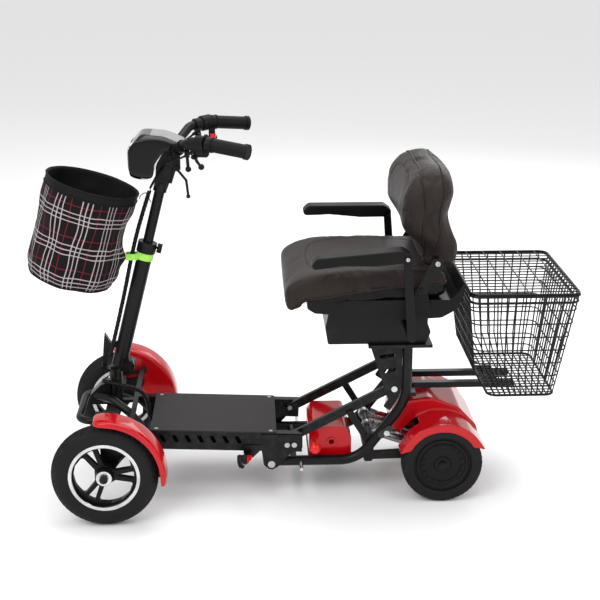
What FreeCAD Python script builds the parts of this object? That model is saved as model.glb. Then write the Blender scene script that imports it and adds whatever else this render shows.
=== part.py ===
import FreeCAD, Part
import math
import os
import Sketcher
from types import SimpleNamespace

from FreeCAD import Placement, Rotation, Vector

# Folding four-wheel mobility scooter, millimetres.
# The parts are laid out from the front axle: x runs rearward, y to the scooter's right, z up
# from the ground. front_axle_x then shifts them all, so that the origin lies on the ground
# under the middle of the whole scooter.

SIZES = [
    ("front_axle_x", -464.8, "front axle from the origin"),
    ("wheelbase", 817.0, "front axle to rear axle"),
    ("front_track", 500.0, "between the middles of the front tyres"),
    ("front_wheel_r", 127.5, "10 x 2.125 tyre, outer radius"),
    ("front_tyre_r", 27.0, "radius of the front tyre's section"),
    ("front_rim_r", 84.5, "bead seat of the front rim"),
    ("front_rim_width", 44.0, "front rim across its flanges"),
    ("rear_track", 300.0, "between the middles of the rear tyres"),
    ("rear_wheel_r", 100.0, "8 inch tyre, outer radius"),
    ("rear_tyre_width", 50.0, "rear tyre"),
    ("rear_hub_r", 70.0, "hub motor, radius"),
    ("rear_hub_width", 42.0, "hub motor"),
    ("axle_r", 6.0, "wheel axles and kingpins, radius"),
    ("running_gap", 0.05, "radial clearance of a shaft in its bore"),
    ("kingpin_y", 200.0, "kingpins from the middle"),
    ("column_x", 9.0, "steering axis"),
    ("column_r", 12.4, "steering shaft, radius"),
    ("head_tube_r", 16.5, "head tube, outer radius"),
    ("steering_arm", 60.0, "kingpin to tie rod pin"),
    ("tie_pin_r", 4.0, "tie rod pins, radius"),
    ("beam_low", 192.0, "underside of the front beam"),
    ("beam_high", 210.0, "top of the front beam"),
    ("deck_front", 100.0, "front edge of the foot board"),
    ("deck_length", 310.0, "foot board"),
    ("deck_half", 122.0, "half the width of the foot board"),
    ("deck_top", 185.0, "foot board at its front edge"),
    ("deck_tilt", 2.3, "degrees, the deck falls rearward"),
    ("board_thick", 3.0, "foot board sheet"),
    ("rail_depth", 48.0, "side rails under the foot board"),
    ("rail_width", 20.0, "side rails"),
    ("rail_wall", 2.5, "wall of the side rails"),
    ("rail_length", 410.0, "side rails, past the board at both ends"),
    ("screw_front", 14.0, "front screws from the front edge of the board"),
    ("screw_rear", 296.0, "rear screws from the front edge of the board"),
    ("screw_y", 112.0, "screws from the middle"),
    ("screw_r", 5.0, "screw heads, radius"),
    ("fold_x", 397.0, "hinge of the rear frame"),
    ("fold_z", 90.0, "hinge of the rear frame"),
    ("fold_pin_r", 6.0, "hinge pin of the rear frame, radius"),
    ("bracket_thick", 4.0, "hinge brackets of the rear frame"),
    ("frame_tube_r", 12.5, "rear frame tube, radius"),
    ("frame_wall", 2.0, "wall of all bent tubes"),
    ("frame_y", 109.0, "rear frame tubes from the middle"),
    ("plate_y", 106.0, "upright plates under the seat, inner faces from the middle"),
    ("plate_thick", 5.0, "upright plates under the seat"),
    ("strut_y", 94.0, "struts from the middle"),
    ("strut_deep", 22.0, "strut bar, depth"),
    ("strut_thick", 12.0, "strut bar, thickness"),
    ("swing_x", 640.0, "hinge of the swing arm"),
    ("swing_z", 93.0, "hinge of the swing arm"),
    ("shock_y", 40.0, "shock absorbers from the middle"),
    ("stem_tilt", 14.5, "degrees, the stem leans back"),
    ("stem_base_x", 21.0, "stem axis at the fold joint"),
    ("stem_base_z", 318.0, "height of the stem's fold joint"),
    ("stem_r", 19.0, "lower stem tube, outer radius"),
    ("stem_wall", 2.5, "lower stem tube, wall"),
    ("stem_length", 318.0, "lower stem tube"),
    ("post_r", 12.5, "sliding upper stem tube, radius"),
    ("hinge_x", 45.0, "fold hinge of the stem"),
    ("grip_r", 16.0, "handlebar grips, radius"),
    ("bar_r", 11.0, "handlebar, radius"),
    ("throttle_x", 207.0, "pin of the thumb paddle"),
    ("throttle_y", -98.6, "inner face of the paddle's tab"),
    ("throttle_z", 862.0, "pin of the thumb paddle"),
    ("rocker_x", 262.0, "pin of the rocker switch"),
    ("rocker_y", 128.0, "pin of the rocker switch"),
    ("rocker_z", 861.0, "pin of the rocker switch"),
    ("park_x", 181.0, "pin of the parking lever"),
    ("park_y", -79.0, "middle of its perch"),
    ("park_z", 828.0, "pin of the parking lever"),
    ("loom_r", 6.0, "wrapped cable looms, radius"),
    ("brake_cable_r", 2.5, "brake cables, radius"),
    ("bag_r_top", 119.0, "front bag at its rim"),
    ("bag_r_low", 112.0, "front bag at its bottom"),
    ("bag_height", 247.0, "front bag along its axis"),
    ("bag_tilt", 16.5, "degrees, the bag leans back"),
    ("seat_half", 190.0, "half the width of the seat cushion"),
    ("back_half", 186.0, "half the width of the backrest"),
    ("armrest_y", 222.0, "armrest hinge from the middle"),
    ("armrest_x", 709.0, "armrest hinge"),
    ("armrest_z", 645.0, "armrest hinge"),
    ("pad_width", 44.0, "armrest pad"),
    ("left_droop", 5.0, "degrees, the left armrest rests lower in front"),
    ("basket_front", 864.0, "front of the rear basket's rim"),
    ("basket_rear", 1131.0, "rear of the rear basket's rim"),
    ("basket_half", 196.0, "half the width of the basket's rim"),
    ("basket_top", 538.0, "height of the basket's rim"),
    ("basket_low", 270.0, "height of the basket's floor"),
    ("basket_wall", 4.0, "thickness of the basket's wire wall"),
]

dim = SimpleNamespace(**{name: value for name, value, note in SIZES})
doc = FreeCAD.newDocument("mobility_scooter")
SUBPARTS = []

LEFT = -1
RIGHT = 1
SIDE_NAMES = {LEFT: "left", RIGHT: "right"}


def make_sheet():
    """The driving dimensions: alias, value and what each one is."""
    sheet = doc.addObject("Spreadsheet::Sheet", "dims")
    for row, (name, value, note) in enumerate(SIZES, start=1):
        sheet.set(f"A{row}", note)
        sheet.set(f"B{row}", str(value))
        sheet.setAlias(f"B{row}", name)
    doc.recompute()


# ---------------------------------------------------------------- building blocks


def bind(obj, name, value):
    """Set a property to a number, or tie it to the sheet where the value is an expression."""
    if isinstance(value, str):
        obj.setExpression(name, value)
    else:
        setattr(obj, name, value)


def subpart(obj, label, at=(0, 0, 0), turn=None):
    """Name a finished sub-part and put it in the scooter's own frame."""
    obj.Label = label
    obj.Placement = Placement(Vector(*at), turn or Rotation())
    obj.setExpression("Placement.Base.x", f"dims.front_axle_x + {at[0]:.6f}")
    SUBPARTS.append(obj)
    return obj


def cylinder(radius, length, at, along=(0, 0, 1)):
    """A cylinder that starts at a point and runs along a direction."""
    obj = doc.addObject("Part::Cylinder", "cylinder")
    bind(obj, "Radius", radius)
    bind(obj, "Height", length)
    obj.Placement = Placement(Vector(*at), Rotation(Vector(0, 0, 1), Vector(*along)))
    return obj


def across(radius, x, z, y_from, y_to):
    """A cylinder that lies across the scooter."""
    return cylinder(radius, y_to - y_from, (x, y_from, z), (0, 1, 0))


def rod(radius, start, end):
    """A cylinder between two points."""
    run = Vector(*end) - Vector(*start)
    return cylinder(radius, run.Length, start, run)


def box(low, high, tilt=0.0):
    """A box between two corners, turned about a cross axis through its first corner."""
    obj = doc.addObject("Part::Box", "box")
    obj.Length, obj.Width, obj.Height = [b - a for a, b in zip(low, high)]
    obj.Placement = Placement(Vector(*low), Rotation(Vector(0, 1, 0), tilt))
    return obj


def ball(radius, at):
    obj = doc.addObject("Part::Sphere", "ball")
    bind(obj, "Radius", radius)
    obj.Placement.Base = Vector(*at)
    return obj


def fuse(*parts):
    obj = doc.addObject("Part::MultiFuse", "fuse")
    obj.Shapes = list(parts)
    return obj


def group(*parts):
    """Separate solids that share one node."""
    obj = doc.addObject("Part::Compound", "group")
    obj.Links = list(parts)
    return obj


def cut(base, *tools):
    obj = doc.addObject("Part::Cut", "cut")
    obj.Base = base
    obj.Tool = tools[0] if len(tools) == 1 else fuse(*tools)
    return obj


def common(base, tool):
    obj = doc.addObject("Part::Common", "common")
    obj.Base = base
    obj.Tool = tool
    return obj


def rounded(points, closed=True):
    """Lines and arcs through points; a point with one more number has a corner of that radius."""
    count = len(points)
    size = 2 if closed else 3
    spots = [Vector(*(list(p[:size]) + [0] * (3 - size))) for p in points]
    rounds = [p[size] if len(p) > size else 0 for p in points]
    starts, ends, edges = [], [], []
    for i, spot in enumerate(spots):
        if rounds[i] == 0:
            starts.append(spot)
            ends.append(spot)
            edges.append(None)
            continue
        back = (spots[i - 1] - spot).normalize()
        on = (spots[(i + 1) % count] - spot).normalize()
        half = back.getAngle(on) / 2
        reach = rounds[i] / math.tan(half)
        middle = (back + on).normalize()
        apex = spot + middle * (rounds[i] / math.sin(half) - rounds[i])
        starts.append(spot + back * reach)
        ends.append(spot + on * reach)
        edges.append(Part.Arc(starts[i], apex, ends[i]))
    shapes = []
    for i in range(count):
        if edges[i]:
            shapes.append(edges[i])
        j = (i + 1) % count
        if (closed or j) and (starts[j] - ends[i]).Length > 1e-6:
            shapes.append(Part.LineSegment(ends[i], starts[j]))
    return shapes


def origin_plane(body, role):
    return next(f for f in body.Origin.OriginFeatures if f.Role == role)


def new_body(name):
    body = doc.addObject("PartDesign::Body", name)
    body.AllowCompound = True
    return body


def sketch(body, role, offset=0.0, outlines=(), circles=()):
    """A sketch on an origin plane: rounded outlines, and circles as (u, v, radius)."""
    made = body.newObject("Sketcher::SketchObject", "sketch")
    made.AttachmentSupport = [(origin_plane(body, role), "")]
    made.MapMode = "FlatFace"
    made.AttachmentOffset = Placement(Vector(0, 0, offset), Rotation())
    for points in outlines:
        made.addGeometry(rounded(points), False)
    for u, v, radius in circles:
        add_circle(made, u, v, radius)
    return made


def add_circle(made, u, v, radius):
    """A circle whose radius is a number or an expression on the sheet."""
    start = radius if not isinstance(radius, str) else 10.0
    index = made.addGeometry(Part.Circle(Vector(u, v, 0), Vector(0, 0, 1), start), False)
    if isinstance(radius, str):
        rule = made.addConstraint(Sketcher.Constraint("Radius", index, start))
        made.setExpression(f"Constraints[{rule}]", radius)


def pad(body, profile, length, both_ways=False):
    made = body.newObject("PartDesign::Pad", "pad")
    made.Profile = profile
    bind(made, "Length", length)
    made.Midplane = both_ways
    body.Tip = made
    return made


def pocket(body, profile):
    """Cut right through, both ways from the sketch."""
    made = body.newObject("PartDesign::Pocket", "pocket")
    made.Profile = profile
    made.Type = "Length"
    made.Length = 2000
    made.Midplane = True
    body.Tip = made
    return made


def revolve(body, profile, angle=360.0):
    """Turn a profile about the sketch's upright axis."""
    made = body.newObject("PartDesign::Revolution", "revolution")
    made.Profile = profile
    made.ReferenceAxis = (profile, ["V_Axis"])
    made.Angle = angle
    body.Tip = made
    return made


def mirror(body, features):
    """Copy features to the scooter's other side."""
    made = body.newObject("PartDesign::Mirrored", "mirrored")
    made.Originals = list(features)
    made.MirrorPlane = (origin_plane(body, "XZ_Plane"), [""])
    body.Tip = made
    return made


def around(body, features, count):
    """Repeat features round the body's upright axis."""
    made = body.newObject("PartDesign::PolarPattern", "pattern")
    made.Originals = list(features)
    made.Axis = (next(f for f in body.Origin.OriginFeatures if f.Role == "Z_Axis"), [""])
    made.Angle = 360
    made.Occurrences = count
    body.Tip = made
    return made


def side_plates(name, outlines, y_in, thick, holes=()):
    """The same upright plate on both sides, outwards from y_in by the size that thick names."""
    body = new_body(name)
    start = -(y_in + getattr(dim, thick))
    made = pad(body, sketch(body, "XZ_Plane", start, outlines, holes), f"dims.{thick}")
    mirror(body, [made])
    return body


def upright_slab(outline, y_from, y_to):
    """A closed outline in the x-z plane, given thickness across the scooter."""
    body = new_body("slab")
    pad(body, sketch(body, "XZ_Plane", -y_to, [outline]), y_to - y_from)
    return body


def wire_of(points):
    """One wire through points in space, with tangent arcs at the rounded ones."""
    return Part.Wire([shape.toShape() for shape in rounded(points, closed=False)])


def sweep(points, radius):
    """A round solid along a route."""
    spine = doc.addObject("Part::Feature", "spine")
    spine.Shape = wire_of(points)
    start = Vector(*points[0][:3])
    ring = doc.addObject("Part::Circle", "ring")
    bind(ring, "Radius", radius)
    run = Vector(*points[1][:3]) - start
    ring.Placement = Placement(start, Rotation(Vector(0, 0, 1), run))
    made = doc.addObject("Part::Sweep", "sweep")
    made.Sections = [ring]
    made.Spine = (spine, [f"Edge{i + 1}" for i in range(len(spine.Shape.Edges))])
    made.Solid = True
    made.Frenet = False
    return made


def cord(points, radius):
    """A round cord; the arc at each point is as large as the two runs beside it allow."""
    places = [Vector(*p) for p in points]
    route = [points[0]]
    for before, place, after in zip(places, places[1:], places[2:]):
        turn = (place - before).getAngle(after - place)
        shorter = min((place - before).Length, (after - place).Length)
        arc = 0.45 * shorter / math.tan(turn / 2)
        print(f"cord radius {radius}, turn {math.degrees(turn):.0f} degrees, bend {arc:.0f}")
        route.append((place.x, place.y, place.z, arc))
    return sweep(route + [points[-1]], radius)


def tube(points, radius):
    """A bent tube, hollow, with the common wall."""
    return cut(sweep(points, radius), sweep(points, f"{radius} - dims.frame_wall"))


def flip(points, side):
    """Points given for the right-hand side, moved to either side."""
    return [(p[0], side * p[1]) + tuple(p[2:]) for p in points]


def span(side, near, far):
    """A y range given as distances from the middle, on either side."""
    return (near, far) if side == RIGHT else (-far, -near)


# ---------------------------------------------------------------- stem axis


def stem_direction():
    tilt = math.radians(dim.stem_tilt)
    return Vector(math.sin(tilt), 0, math.cos(tilt))


def stem_point(distance, forward=0.0, y=0.0):
    """A point beside the stem's axis, measured up it from the fold joint."""
    along = stem_direction()
    front = Vector(-along.z, 0, along.x)
    base = Vector(dim.stem_base_x, y, dim.stem_base_z)
    return tuple(base + along * distance + front * forward)


# ---------------------------------------------------------------- chassis


def deck_placement():
    return Rotation(Vector(0, 1, 0), dim.deck_tilt)


def make_deck_plate():
    """Foot board: a sheet with rounded corners and a folded front lip."""
    body = new_body("deck_plate")
    half = dim.deck_half
    length = dim.deck_length
    outline = [(0, -half, 6), (length, -half, 6), (length, half, 6), (0, half, 6)]
    holes = []
    for x in (dim.screw_front, dim.screw_rear):
        holes += [(x, -dim.screw_y, dim.screw_r + 0.3), (x, dim.screw_y, dim.screw_r + 0.3)]
    pad(body, sketch(body, "XY_Plane", -dim.board_thick, [outline], holes), "dims.board_thick")
    subpart(body, "deck_plate", (dim.deck_front, 0, dim.deck_top), deck_placement())


def make_deck_frame():
    """Two box rails with slanted slots, and the cross members and belly pan between them."""
    body = new_body("rails")
    low = -dim.board_thick - dim.rail_depth
    high = -dim.board_thick
    wall = dim.rail_wall
    inner = dim.deck_half - dim.rail_width
    ring = [(inner, low), (dim.deck_half, low), (dim.deck_half, high), (inner, high)]
    hollow = [
        (inner + wall, low + wall),
        (dim.deck_half - wall, low + wall),
        (dim.deck_half - wall, high - wall),
        (inner + wall, high - wall),
    ]
    rails_start = -35.0
    rail = pad(body, sketch(body, "YZ_Plane", rails_start, [ring, hollow]), "dims.rail_length")
    mirror(body, [rail])
    slots = []
    first_slot, slot_step, slot_wide, slant = 20.0, 31.0, 11.0, 10.0
    for i in range(7):
        x = first_slot + i * slot_step
        slots.append(
            [
                (x, high - 10, 3),
                (x + slot_wide, high - 10, 3),
                (x + slot_wide + slant, low + 19, 3),
                (x + slant, low + 19, 3),
            ]
        )
    pocket(body, sketch(body, "XZ_Plane", 0, slots))
    front_member = box((-16, -inner - 1, low + 3), (-6, inner + 1, low + 15))
    rear_member = box((dim.deck_length - 4, -inner - 1, low), (dim.deck_length, inner + 1, high))
    pan = box((0, -inner - 1, low), (dim.deck_length - 4, inner + 1, low + 3))
    frame = fuse(body, front_member, rear_member, pan)
    subpart(frame, "deck_frame", (dim.deck_front, 0, dim.deck_top), deck_placement())


def make_front_beam():
    """Cross beam with a kingpin eye at each end and the two tread plates on it."""
    low, high = dim.beam_low, dim.beam_high
    end = dim.kingpin_y
    solids = [box((-15, -end + 8, low), (15, end - 8, high))]
    bores = []
    for side in (LEFT, RIGHT):
        solids.append(cylinder(13, high - low, (0, side * end, low)))
        bores.append(cylinder("dims.axle_r + dims.running_gap", high, (0, side * end, low - 20)))
        y_from, y_to = span(side, 68, 152)
        solids.append(box((-38, y_from, high - 0.5), (20, y_to, high + 3)))
    subpart(cut(fuse(*solids), *bores), "front_beam")


def make_front_tubes():
    """Nose block, head tube and the two bent tubes that carry them to the deck."""
    column = dim.column_x
    head = cylinder("dims.head_tube_r", 74, (column, 0, 223))
    bore = cylinder("dims.column_r + dims.running_gap", 90, (column, 0, 215))
    nose = upright_slab(
        [(-56, 211), (-10, 211), (-10, 222), (-4, 226), (-4, 272), (-30, 262, 10), (-56, 236, 8)],
        -17, 17,
    )
    solids = [head, nose]
    for side in (LEFT, RIGHT):
        solids.append(
            sweep(
                flip([(-42, 10, 234), (0, 40, 234, 40), (45, 64, 208, 40), (86, 74, 160)], side),
                10.5,
            )
        )
    subpart(group(cut(fuse(*solids), bore), front_bumper()), "front_tubes")


def front_bumper():
    """U-shaped guard in front of the beam."""
    x_back, x_front, y, z = -15.0, -78.0, 98.0, 200.4
    points = [(x_back, -y, z), (x_front, -y, z, 34), (x_front, y, z, 34), (x_back, y, z)]
    return tube(points, "9")


def make_fold_brackets():
    """Plates outside the rails that carry the hinge of the rear frame."""
    x, z = dim.fold_x, dim.fold_z
    outline = [
        (372, 168), (474, 165), (474, 130, 6), (446, 118, 12), (x + 19, z - 6, 14),
        (x, z - 19, 14), (x - 19, z - 4, 14), (372, 132, 8),
    ]
    holes = [(x, z, "dims.fold_pin_r"), (436, 140, 4.2), (453.5, 140, 4.2)]
    body = side_plates("bracket_plates", [outline], dim.deck_half, "bracket_thick", holes)
    subpart(fuse(body, make_hook_ear()), "fold_brackets")


def make_deck_bolts():
    """Hinge pins, strut pins and the screws of the foot board and brackets."""
    x, z = dim.fold_x, dim.fold_z
    outer = dim.deck_half + dim.bracket_thick
    solids = []
    turn = deck_placement()
    up = tuple(turn.multVec(Vector(0, 0, 1)))
    for side in (LEFT, RIGHT):
        pin = across("dims.fold_pin_r", x, z, *span(side, dim.frame_y - 14, outer))
        solids.append(fuse(pin, across(9, x, z, *span(side, outer, outer + 5))))
        solids.append(across(6, 450, 150, *span(side, dim.strut_y - 7, dim.deck_half - dim.rail_width)))
        for bolt_x in (436, 453.5):
            shank = across(4, bolt_x, 140, *span(side, dim.deck_half, outer))
            solids.append(fuse(shank, across(6.5, bolt_x, 140, *span(side, outer, outer + 3))))
        for screw_x in (dim.screw_front, dim.screw_rear):
            sunk = turn.multVec(Vector(screw_x, side * dim.screw_y, -2.4))
            seat = Vector(dim.deck_front, 0, dim.deck_top) + sunk
            solids.append(cylinder("dims.screw_r", 2.3, tuple(seat), up))
    subpart(group(*solids), "deck_bolts")


def make_deck_cable():
    """Wrapped cable loom from the column's foot into the front of the deck."""
    points = [
        (-22, -20, 276), (10, -27, 269), (50, -31, 262), (81, -29, 246), (91, -26, 208), (90.5, -23, 170),
        (122, -20, 160),
    ]
    subpart(group(cord(points, dim.loom_r)), "deck_cable")


def make_latch_hook():
    """Hook that holds the folded frame, with its ball knob, beside the near rail."""
    y_from, y_to = -146.0, -140.0
    outline = [
        (312, 122, 5), (352, 122, 5), (346, 108, 6), (326, 106, 3), (322, 98), (330, 92), (326, 86, 4),
        (316, 90, 6), (312, 104, 4),
    ]
    hook = upright_slab(outline, y_from, y_to)
    pivot = across(4, 340, 115, -141, -118)
    knob = ball(12.5, (331, -158, 117))
    stalk = across(3, 331, 117, -150, -143)
    subpart(fuse(hook, pivot, stalk, knob), "latch_hook")


def make_hook_ear():
    """Ear under the rail that the latch hook turns on."""
    ear = upright_slab([(326, 140), (372, 140), (372, 128), (352, 108, 8), (330, 104, 8)], -126, -122)
    return cut(ear, across(4.05, 340, 115, -130, -118))


# ---------------------------------------------------------------- steering


def make_steering_column():
    """Shaft in the head tube, with the steering arm below and the stem's hinge yoke above."""
    x = dim.column_x
    shaft = cylinder("dims.column_r", 94, (x, 0, 211))
    arm = box((x, -9, 211.5), (x + dim.steering_arm, 9, 219))
    eye = cylinder(10, 7.5, (x + dim.steering_arm, 0, 211.5))
    arm_bore = cylinder(
        "dims.tie_pin_r + dims.running_gap", 20, (x + dim.steering_arm, 0, 205)
    )
    collar = cylinder(20, 7, (x, 0, 298))
    seat = box((-10, -16, 299), (42, 16, 305))
    solids = [shaft, arm, eye, collar, seat]
    for side in (LEFT, RIGHT):
        ear = [(30, 299), (58, 299), (58, 318, 8), (45, 331, 8), (32, 318, 4)]
        solids.append(upright_slab(ear, *span(side, 14, 19)))
        front_ear = [(-10, 299), (-10, 312, 3), (-25, 316, 5), (-25, 300, 5)]
        solids.append(upright_slab(front_ear, *span(side, 9, 13)))
    hinge_bore = across("dims.tie_pin_r + dims.running_gap", dim.hinge_x, dim.stem_base_z, -30, 30)
    lever_bore = across(3.05, -18, 307, -30, 30)
    subpart(cut(fuse(*solids), arm_bore, hinge_bore, lever_bore), "steering_column")


def make_knuckle(side):
    """Kingpin, steering arm, stub axle and the ear that the mudguard is bolted to."""
    y = side * dim.kingpin_y
    radius = dim.front_wheel_r
    solids = [
        cylinder("dims.axle_r", 40, (0, y, 181)),
        cylinder(13, 8, (0, y, 183.5)),
        cylinder(13, 7.5, (0, y, 211.5)),
        box((0, y - 9, 211.5), (dim.steering_arm, y + 9, 219)),
        cylinder(9, 7.5, (dim.steering_arm, y, 211.5)),
    ]
    leg_y = span(side, 196, 213)
    solids.append(upright_slab([(-13, 114, 6), (13, 114, 6), (13, 191), (-13, 191)], *leg_y))
    ear = [(-13, 114, 6), (13, 114, 6), (64, 182, 10), (50, 198, 10), (24, 190.5), (-13, 190.5)]
    solids.append(upright_slab(ear, *span(side, 208, 213)))
    solids.append(across("dims.axle_r", 0, radius, *span(side, 212, 283)))
    solids.append(across(12, 0, radius, *span(side, 212, 222)))
    solids.append(across(10, 0, radius, *span(side, 278, 284)))
    bore = cylinder("dims.tie_pin_r + dims.running_gap", 20, (dim.steering_arm, y, 205))
    subpart(cut(fuse(*solids), bore), f"knuckle_{SIDE_NAMES[side]}")


def make_tie_rod():
    """Bar across the steering arms, with a pin in each."""
    arm = dim.steering_arm
    end = dim.kingpin_y
    centre = dim.column_x + arm
    bar = box((arm - 7, -end, 222), (arm + 5, end, 229))
    middle = box((arm - 7, -10, 222), (centre + 8, 10, 229))
    solids = [bar, middle, cylinder("dims.tie_pin_r", 17, (centre, 0, 212))]
    for side in (LEFT, RIGHT):
        solids.append(cylinder(9, 7, (arm, side * end, 222)))
        solids.append(cylinder("dims.tie_pin_r", 17, (arm, side * end, 212)))
    subpart(fuse(*solids), "tie_rod")


def make_front_wheel(side):
    """Cast rim with three double spokes, and its tyre; the wheel's axis is the body's z."""
    name = SIDE_NAMES[side]
    rim_r, half = dim.front_rim_r, dim.front_rim_width / 2
    hub_r, hub_half, web, well = 19.0, 26.0, 7.0, 76.0
    bore = dim.axle_r + dim.running_gap
    body = new_body("rim")
    profile = [
        (bore, -hub_half), (hub_r, -hub_half), (hub_r + 3, -web), (well, -web), (well + 1, -half),
        (rim_r, -half), (rim_r, half), (well + 1, half), (well, web), (hub_r + 3, web),
        (hub_r, hub_half), (bore, hub_half),
    ]
    revolve(body, sketch(body, "XZ_Plane", 0, [profile]))
    wide = [
        polar(28, 26, 5), polar(70, 16, 6), polar(73.5, 40), polar(74.5, 60), polar(73.5, 80),
        polar(70, 104, 6), polar(28, 94, 5),
    ]
    narrow = [polar(30, -3, 1.5), polar(70, -8, 3), polar(70, 8, 3), polar(30, 3, 1.5)]
    windows = [pocket(body, sketch(body, "XY_Plane", 0, [shape])) for shape in (wide, narrow)]
    around(body, windows, 3)
    turn = Rotation(Vector(0, 0, 1), Vector(0, side, 0))
    at = (0, side * dim.front_track / 2, dim.front_wheel_r)
    subpart(body, f"front_rim_{name}", at, turn)
    torus = doc.addObject("Part::Torus", "torus")
    torus.setExpression("Radius1", "dims.front_wheel_r - dims.front_tyre_r")
    torus.setExpression("Radius2", "dims.front_tyre_r")
    tyre = cut(torus, cylinder("dims.front_rim_r", 100, (0, 0, -50)))
    subpart(tyre, f"front_tyre_{name}", at, turn)


def polar(radius, degrees, rounding=0):
    """A point of a wheel's outline, with the rounding of its corner."""
    angle = math.radians(degrees)
    spot = (radius * math.cos(angle), radius * math.sin(angle))
    return spot + (rounding,) if rounding else spot


def make_front_fender(side):
    """Mudguard: a flanged strip over the tyre with a skirt on the inner side."""
    body = new_body("fender")
    inner, outer_r, thick = 36.0, 148.0, 2.5
    skirt = 56.0
    profile = [
        (skirt, -inner), (outer_r, -inner, 9), (outer_r, inner, 8), (134, inner),
        (134, inner - thick), (outer_r - thick, inner - thick, 5.5),
        (outer_r - thick, thick - inner, 6.5), (skirt, thick - inner),
    ]
    revolve(body, sketch(body, "XZ_Plane", 0, [profile]), 108.0)
    # the skirt faces the middle of the scooter, and the guard runs from over the axle rearward
    turn = Rotation(Vector(0, 1, 0), 8)
    turn = turn.multiply(Rotation(Vector(1, 0, 0), -90 * side))
    if side == RIGHT:
        turn = turn.multiply(Rotation(Vector(0, 0, 1), -108))
    at = (0, side * dim.front_track / 2, dim.front_wheel_r)
    subpart(body, f"front_fender_{SIDE_NAMES[side]}", at, turn)


# ---------------------------------------------------------------- stem


def make_stem_tube():
    """Lower stem: hinge lug, tube, and the clamp collar that guides the sliding post."""
    top = dim.stem_length
    along = tuple(stem_direction())
    ears = [box((29.6, y_from, 300), (60, y_to, 334)) for y_from, y_to in ((-26, -13.8), (13.8, 26))]
    shell = cut(cylinder("dims.stem_r", dim.stem_length + 6, stem_point(-6), along), *ears)
    collar = cylinder(23.5, 26, stem_point(top - 22), along)
    flange = box((-2, -15, 305.5), (29.5, 15, 311))
    lug = upright_slab([(20, 306), (57, 306, 4), (55, 326, 8), (34, 330, 4), (20, 330)], -13.5, 13.5)
    pin = across("dims.tie_pin_r", dim.hinge_x, dim.stem_base_z, -22, 22)
    button_boss = cylinder(9, 6, stem_point(44, 16), tuple(Vector(-along[2], 0, along[0])))
    solids = fuse(shell, collar, flange, lug, pin, button_boss)
    bore = cylinder("dims.post_r + dims.running_gap", 500, stem_point(top - 60), along)
    hollow = cylinder("dims.stem_r - dims.stem_wall", top - 90, stem_point(30), along)
    button = cylinder(6.3, 40, stem_point(44, 0), tuple(Vector(-along[2], 0, along[0])))
    knob = cylinder(3.05, 60, stem_point(top - 6, 0), tuple(Vector(along[2], 0, -along[0])))
    subpart(cut(solids, bore, hollow, button, knob), "stem_tube")


def make_clamp_knob():
    """Screw knob that clamps the sliding post at its height."""
    along = stem_direction()
    back = tuple(Vector(along.z, 0, -along.x))
    height = dim.stem_length - 6
    screw = cylinder(3, 20, stem_point(height, -14), back)
    head = cylinder(12, 12, stem_point(height, -25), back)
    subpart(fuse(screw, head), "clamp_knob")


def make_safety_button():
    """Push button in the front of the stem that frees the latch."""
    front = stem_direction()
    forward = tuple(Vector(-front.z, 0, front.x))
    subpart(group(cylinder(6, 9, stem_point(44, 17), forward)), "safety_button")


def make_stem_latch():
    """Lever in front of the stem's foot that locks it upright."""
    outline = [
        (-22, 301, 4), (-14, 301, 4), (-9, 322), (-3, 345), (3, 368, 6), (-2, 376), (-14, 396),
        (-17, 372), (-21, 330),
    ]
    lever = upright_slab(outline, -8, 8)
    window = upright_slab([(-30, 334), (10, 334), (10, 362), (-30, 362)], -4.5, 4.5)
    pin = across(3, -18, 307, -14, 14)
    subpart(fuse(cut(lever, window), pin), "stem_latch")


def make_strap():
    """Hook-and-loop strap round the stem and through the back of the bag."""
    low = dim.stem_length - 41
    along = tuple(stem_direction())
    outer = cylinder(21.6, 18, stem_point(low), along)
    band = box((45.5, -13, 586), (88, 13, 602))
    inner = cylinder(19.2, 40, stem_point(low - 10), along)
    band_inside = box((47.7, -10.8, 580), (80, 10.8, 610))
    subpart(cut(fuse(outer, band), inner, band_inside), "strap")


def make_front_bag():
    """Round shopping bag, open at the top, leaning back with the stem."""
    wall = 4.0
    height = dim.bag_height
    outer = doc.addObject("Part::Cone", "bag")
    outer.setExpression("Radius1", "dims.bag_r_low")
    outer.setExpression("Radius2", "dims.bag_r_top")
    outer.setExpression("Height", "dims.bag_height")
    inner = doc.addObject("Part::Cone", "bag_inside")
    inner.setExpression("Radius1", "dims.bag_r_low - 4")
    inner.setExpression("Radius2", "dims.bag_r_top - 4")
    inner.setExpression("Height", "dims.bag_height")
    inner.Placement.Base = Vector(0, 0, wall)
    bag = cut(outer, inner)
    tilt = Rotation(Vector(0, 1, 0), dim.bag_tilt)
    subpart(bag, "front_bag", (-94, 0, 541), tilt)


def make_stem_loom():
    """Wrapped cables that run down the front of the stem."""
    points = [
        stem_point(446, 24, -2), stem_point(390, 28, -2.5), stem_point(332, 31, -3),
        stem_point(266, 30.5, -4), stem_point(200, 28, -4), stem_point(130, 27, -10),
        stem_point(66, 26.5, -17), stem_point(20, 27, -21),
    ]
    subpart(group(cord(points, dim.loom_r)), "stem_loom")


# ---------------------------------------------------------------- handlebar


def make_post():
    """Sliding upper tube with the cast neck that holds the handlebar."""
    along = tuple(stem_direction())
    outer = cylinder("dims.post_r", 270, stem_point(210), along)
    inner = cylinder("dims.post_r - 2", 240, stem_point(205), along)
    post = cut(outer, inner)
    sleeve = cylinder(16.5, 22, stem_point(452), along)
    neck = upright_slab(
        [(124, 768, 6), (152, 760, 6), (168, 800, 20), (186, 838, 10), (176, 856, 8), (150, 858, 10),
         (128, 820, 20)],
        -14, 14,
    )
    subpart(fuse(post, sleeve, neck), "upper_post")


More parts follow.
